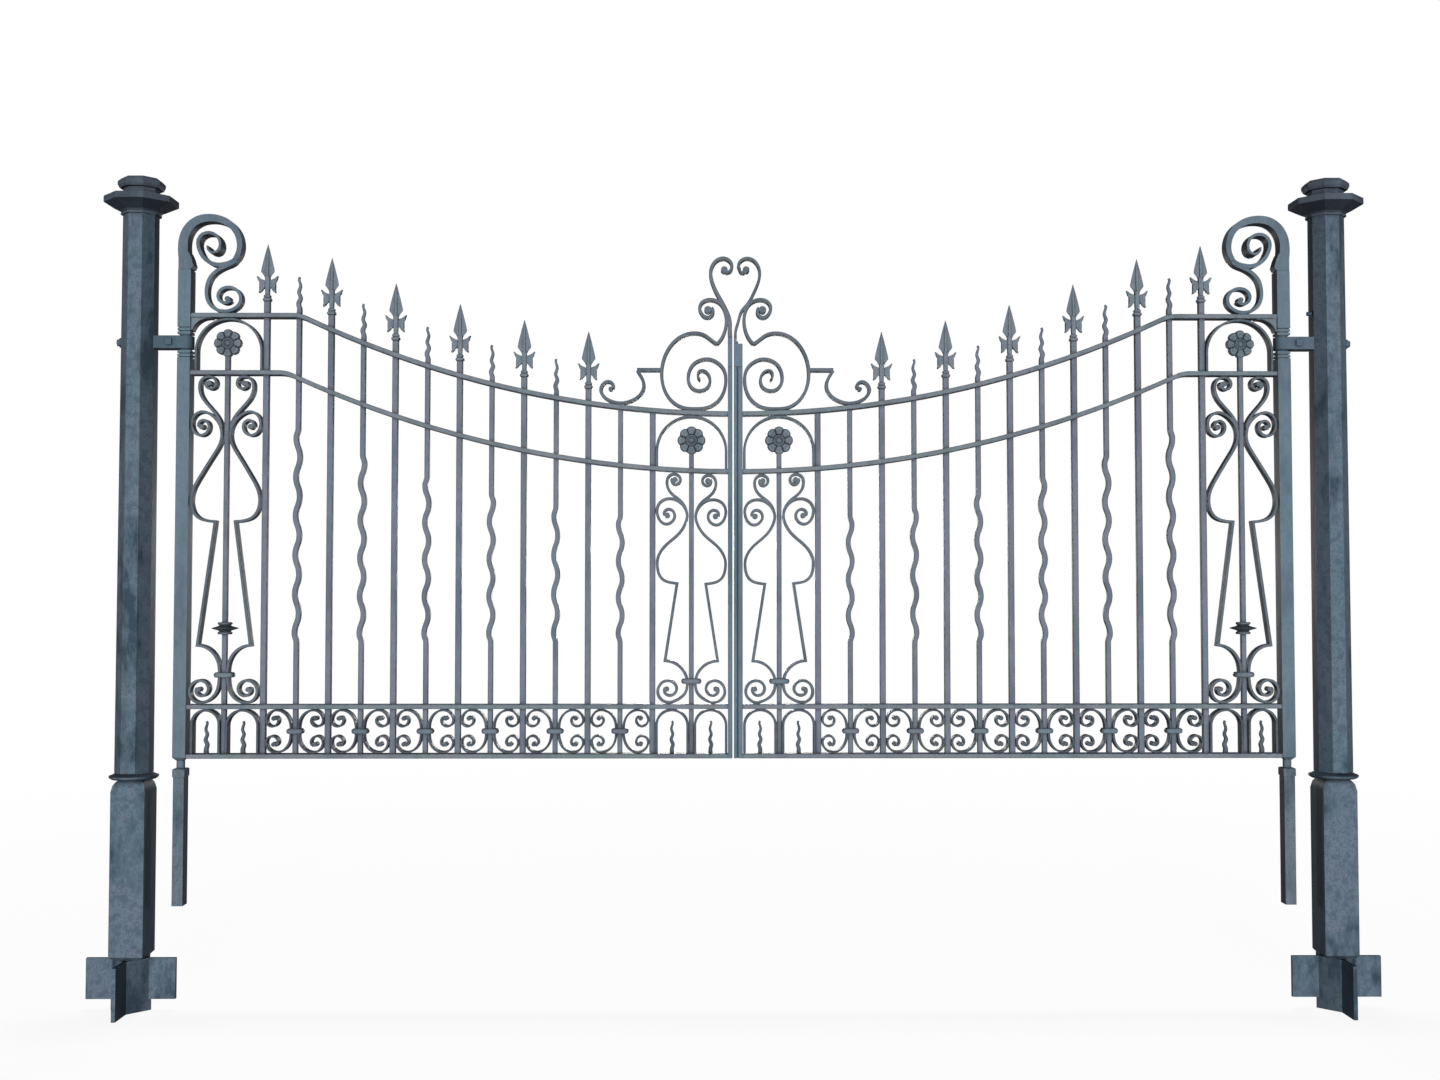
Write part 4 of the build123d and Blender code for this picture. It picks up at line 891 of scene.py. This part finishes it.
# %% Studio
FLOOR_SIZE = 80.0
FLOOR_PLACE = (2.0, 0.0, -0.001)
FLOOR_LIGHTING = (0.25, 0.25, 0.25)  # how much light the floor throws back on the iron
FLOOR_SEEN = (0.8, 0.8, 0.8)
NEAR_DISTANCE, FAR_DISTANCE = 2.5, 8.0  # where the floor starts and ends to turn white
NEAR_SHARE = 0.91             # of white, at the near distance
SKY_LIGHT = 0.03
GATE_MIDDLE = Vector((1.96, 0.0, 1.4))
LAMP_DISTANCE = 24.0
LAMP_SIZE = (3.0, 2.4)
LAMPS = {  # azimuth and elevation it looks from, in degrees, and level
    "front light": (0, 2, 1.0), "back light": (180, 2, 0.9), "right light": (100, 2, 0.35),
    "left light": (-100, 2, 0.35), "top light": (180, 85, 0.7),
}


def seen_directly(tree):
    """1 for what the eye or a reflection sees, 0 for light that only falls on the iron."""
    path = add(tree, "ShaderNodeLightPath")
    seen = combined(tree, path.outputs["Is Camera Ray"], path.outputs["Is Glossy Ray"],
                    "MAXIMUM")
    return combined(tree, seen, path.outputs["Is Transmission Ray"], "MAXIMUM")


def make_floor():
    """White floor that keeps the shadow near the gate and melts into the backdrop far off."""
    mesh = bpy.data.meshes.new("floor")
    half = FLOOR_SIZE / 2
    mesh.from_pydata([(-half, -half, 0), (half, -half, 0), (half, half, 0), (-half, half, 0)],
                     [], [(0, 1, 2, 3)])
    floor = bpy.data.objects.new("floor", mesh)
    floor.location = FLOOR_PLACE
    bpy.context.scene.collection.objects.link(floor)
    material = bpy.data.materials.new("pale floor")
    material.use_nodes = True
    tree = material.node_tree
    shader = tree.nodes["Principled BSDF"]
    seen = seen_directly(tree)
    tree.links.new(mixed(tree, seen, FLOOR_LIGHTING, FLOOR_SEEN), shader.inputs["Base Color"])
    shader.inputs["Roughness"].default_value = 0.9
    shader.inputs["Specular IOR Level"].default_value = 0.0
    glow = add(tree, "ShaderNodeEmission", [("Color", (1, 1, 1, 1)), ("Strength", 1.0)])
    place = add(tree, "ShaderNodeTexCoord")
    away = add(tree, "ShaderNodeVectorMath", [(0, place.outputs["Object"])], operation="LENGTH")
    whiter = ramp(tree, away.outputs["Value"], NEAR_DISTANCE, FAR_DISTANCE, NEAR_SHARE, 1.0)
    mix = add(tree, "ShaderNodeMixShader", [(0, times(tree, seen, whiter))])
    tree.links.new(shader.outputs[0], mix.inputs[1])
    tree.links.new(glow.outputs[0], mix.inputs[2])
    tree.links.new(mix.outputs[0], tree.nodes["Material Output"].inputs["Surface"])
    mesh.materials.append(material)


def make_world():
    """White to the eye and in reflections, dim as a light."""
    world = bpy.data.worlds.new("studio")
    bpy.context.scene.world = world
    world.use_nodes = True
    tree = world.node_tree
    background = tree.nodes["Background"]
    background.inputs["Color"].default_value = (1, 1, 1, 1)
    strength = ramp(tree, seen_directly(tree), 0.0, 1.0, SKY_LIGHT, 1.0)
    tree.links.new(strength, background.inputs["Strength"])


def make_lamp(name, azimuth, elevation, level):
    """Area lamp that looks at the middle of the gate.

    At level 1 its power lets a face that looks straight at it show its own colour.
    """
    lamp = bpy.data.lights.new(name, "AREA")
    lamp.shape = "RECTANGLE"
    lamp.size, lamp.size_y = LAMP_SIZE
    lamp.energy = level * (math.pi * LAMP_DISTANCE) ** 2
    turn, rise = math.radians(azimuth), math.radians(elevation)
    away = Vector((math.sin(turn) * math.cos(rise), -math.cos(turn) * math.cos(rise),
                   math.sin(rise)))
    holder = bpy.data.objects.new(name, lamp)
    holder.location = GATE_MIDDLE + away * LAMP_DISTANCE
    holder.rotation_euler = away.to_track_quat("Z", "Y").to_euler()
    bpy.context.scene.collection.objects.link(holder)


make_floor()
make_world()
for name, (azimuth, elevation, level) in LAMPS.items():
    make_lamp(name, azimuth, elevation, level)
print("lamps:", list(LAMPS))

# %% [markdown]
# ## Camera
# The gate is seen from the street, as a passer-by meets it: at chest height, just left of its
# middle, with the lens tilted up a little.  A longer lens from further off would flatten it,
# and the near view keeps the posts as tall as they look from the pavement.


# %% Camera
SENSOR_WIDTH = 36.0
LENS_SHARE = 1520.3 / 1440    # focal length as a share of the sensor's width
CAMERA_PLACE = (1.875, -4.992, 1.349)
TILT_UP, TURN_LEFT = 0.0351, -0.0070  # radians

lens = bpy.data.cameras.new("camera")
lens.sensor_width = SENSOR_WIDTH
lens.lens = LENS_SHARE * SENSOR_WIDTH
camera = bpy.data.objects.new("camera", lens)
camera.location = CAMERA_PLACE
camera.rotation_euler = (math.radians(90.0) + TILT_UP, 0.0, TURN_LEFT)
bpy.context.scene.collection.objects.link(camera)
bpy.context.scene.camera = camera
bpy.context.scene.view_settings.view_transform = "Standard"
print("camera ready")
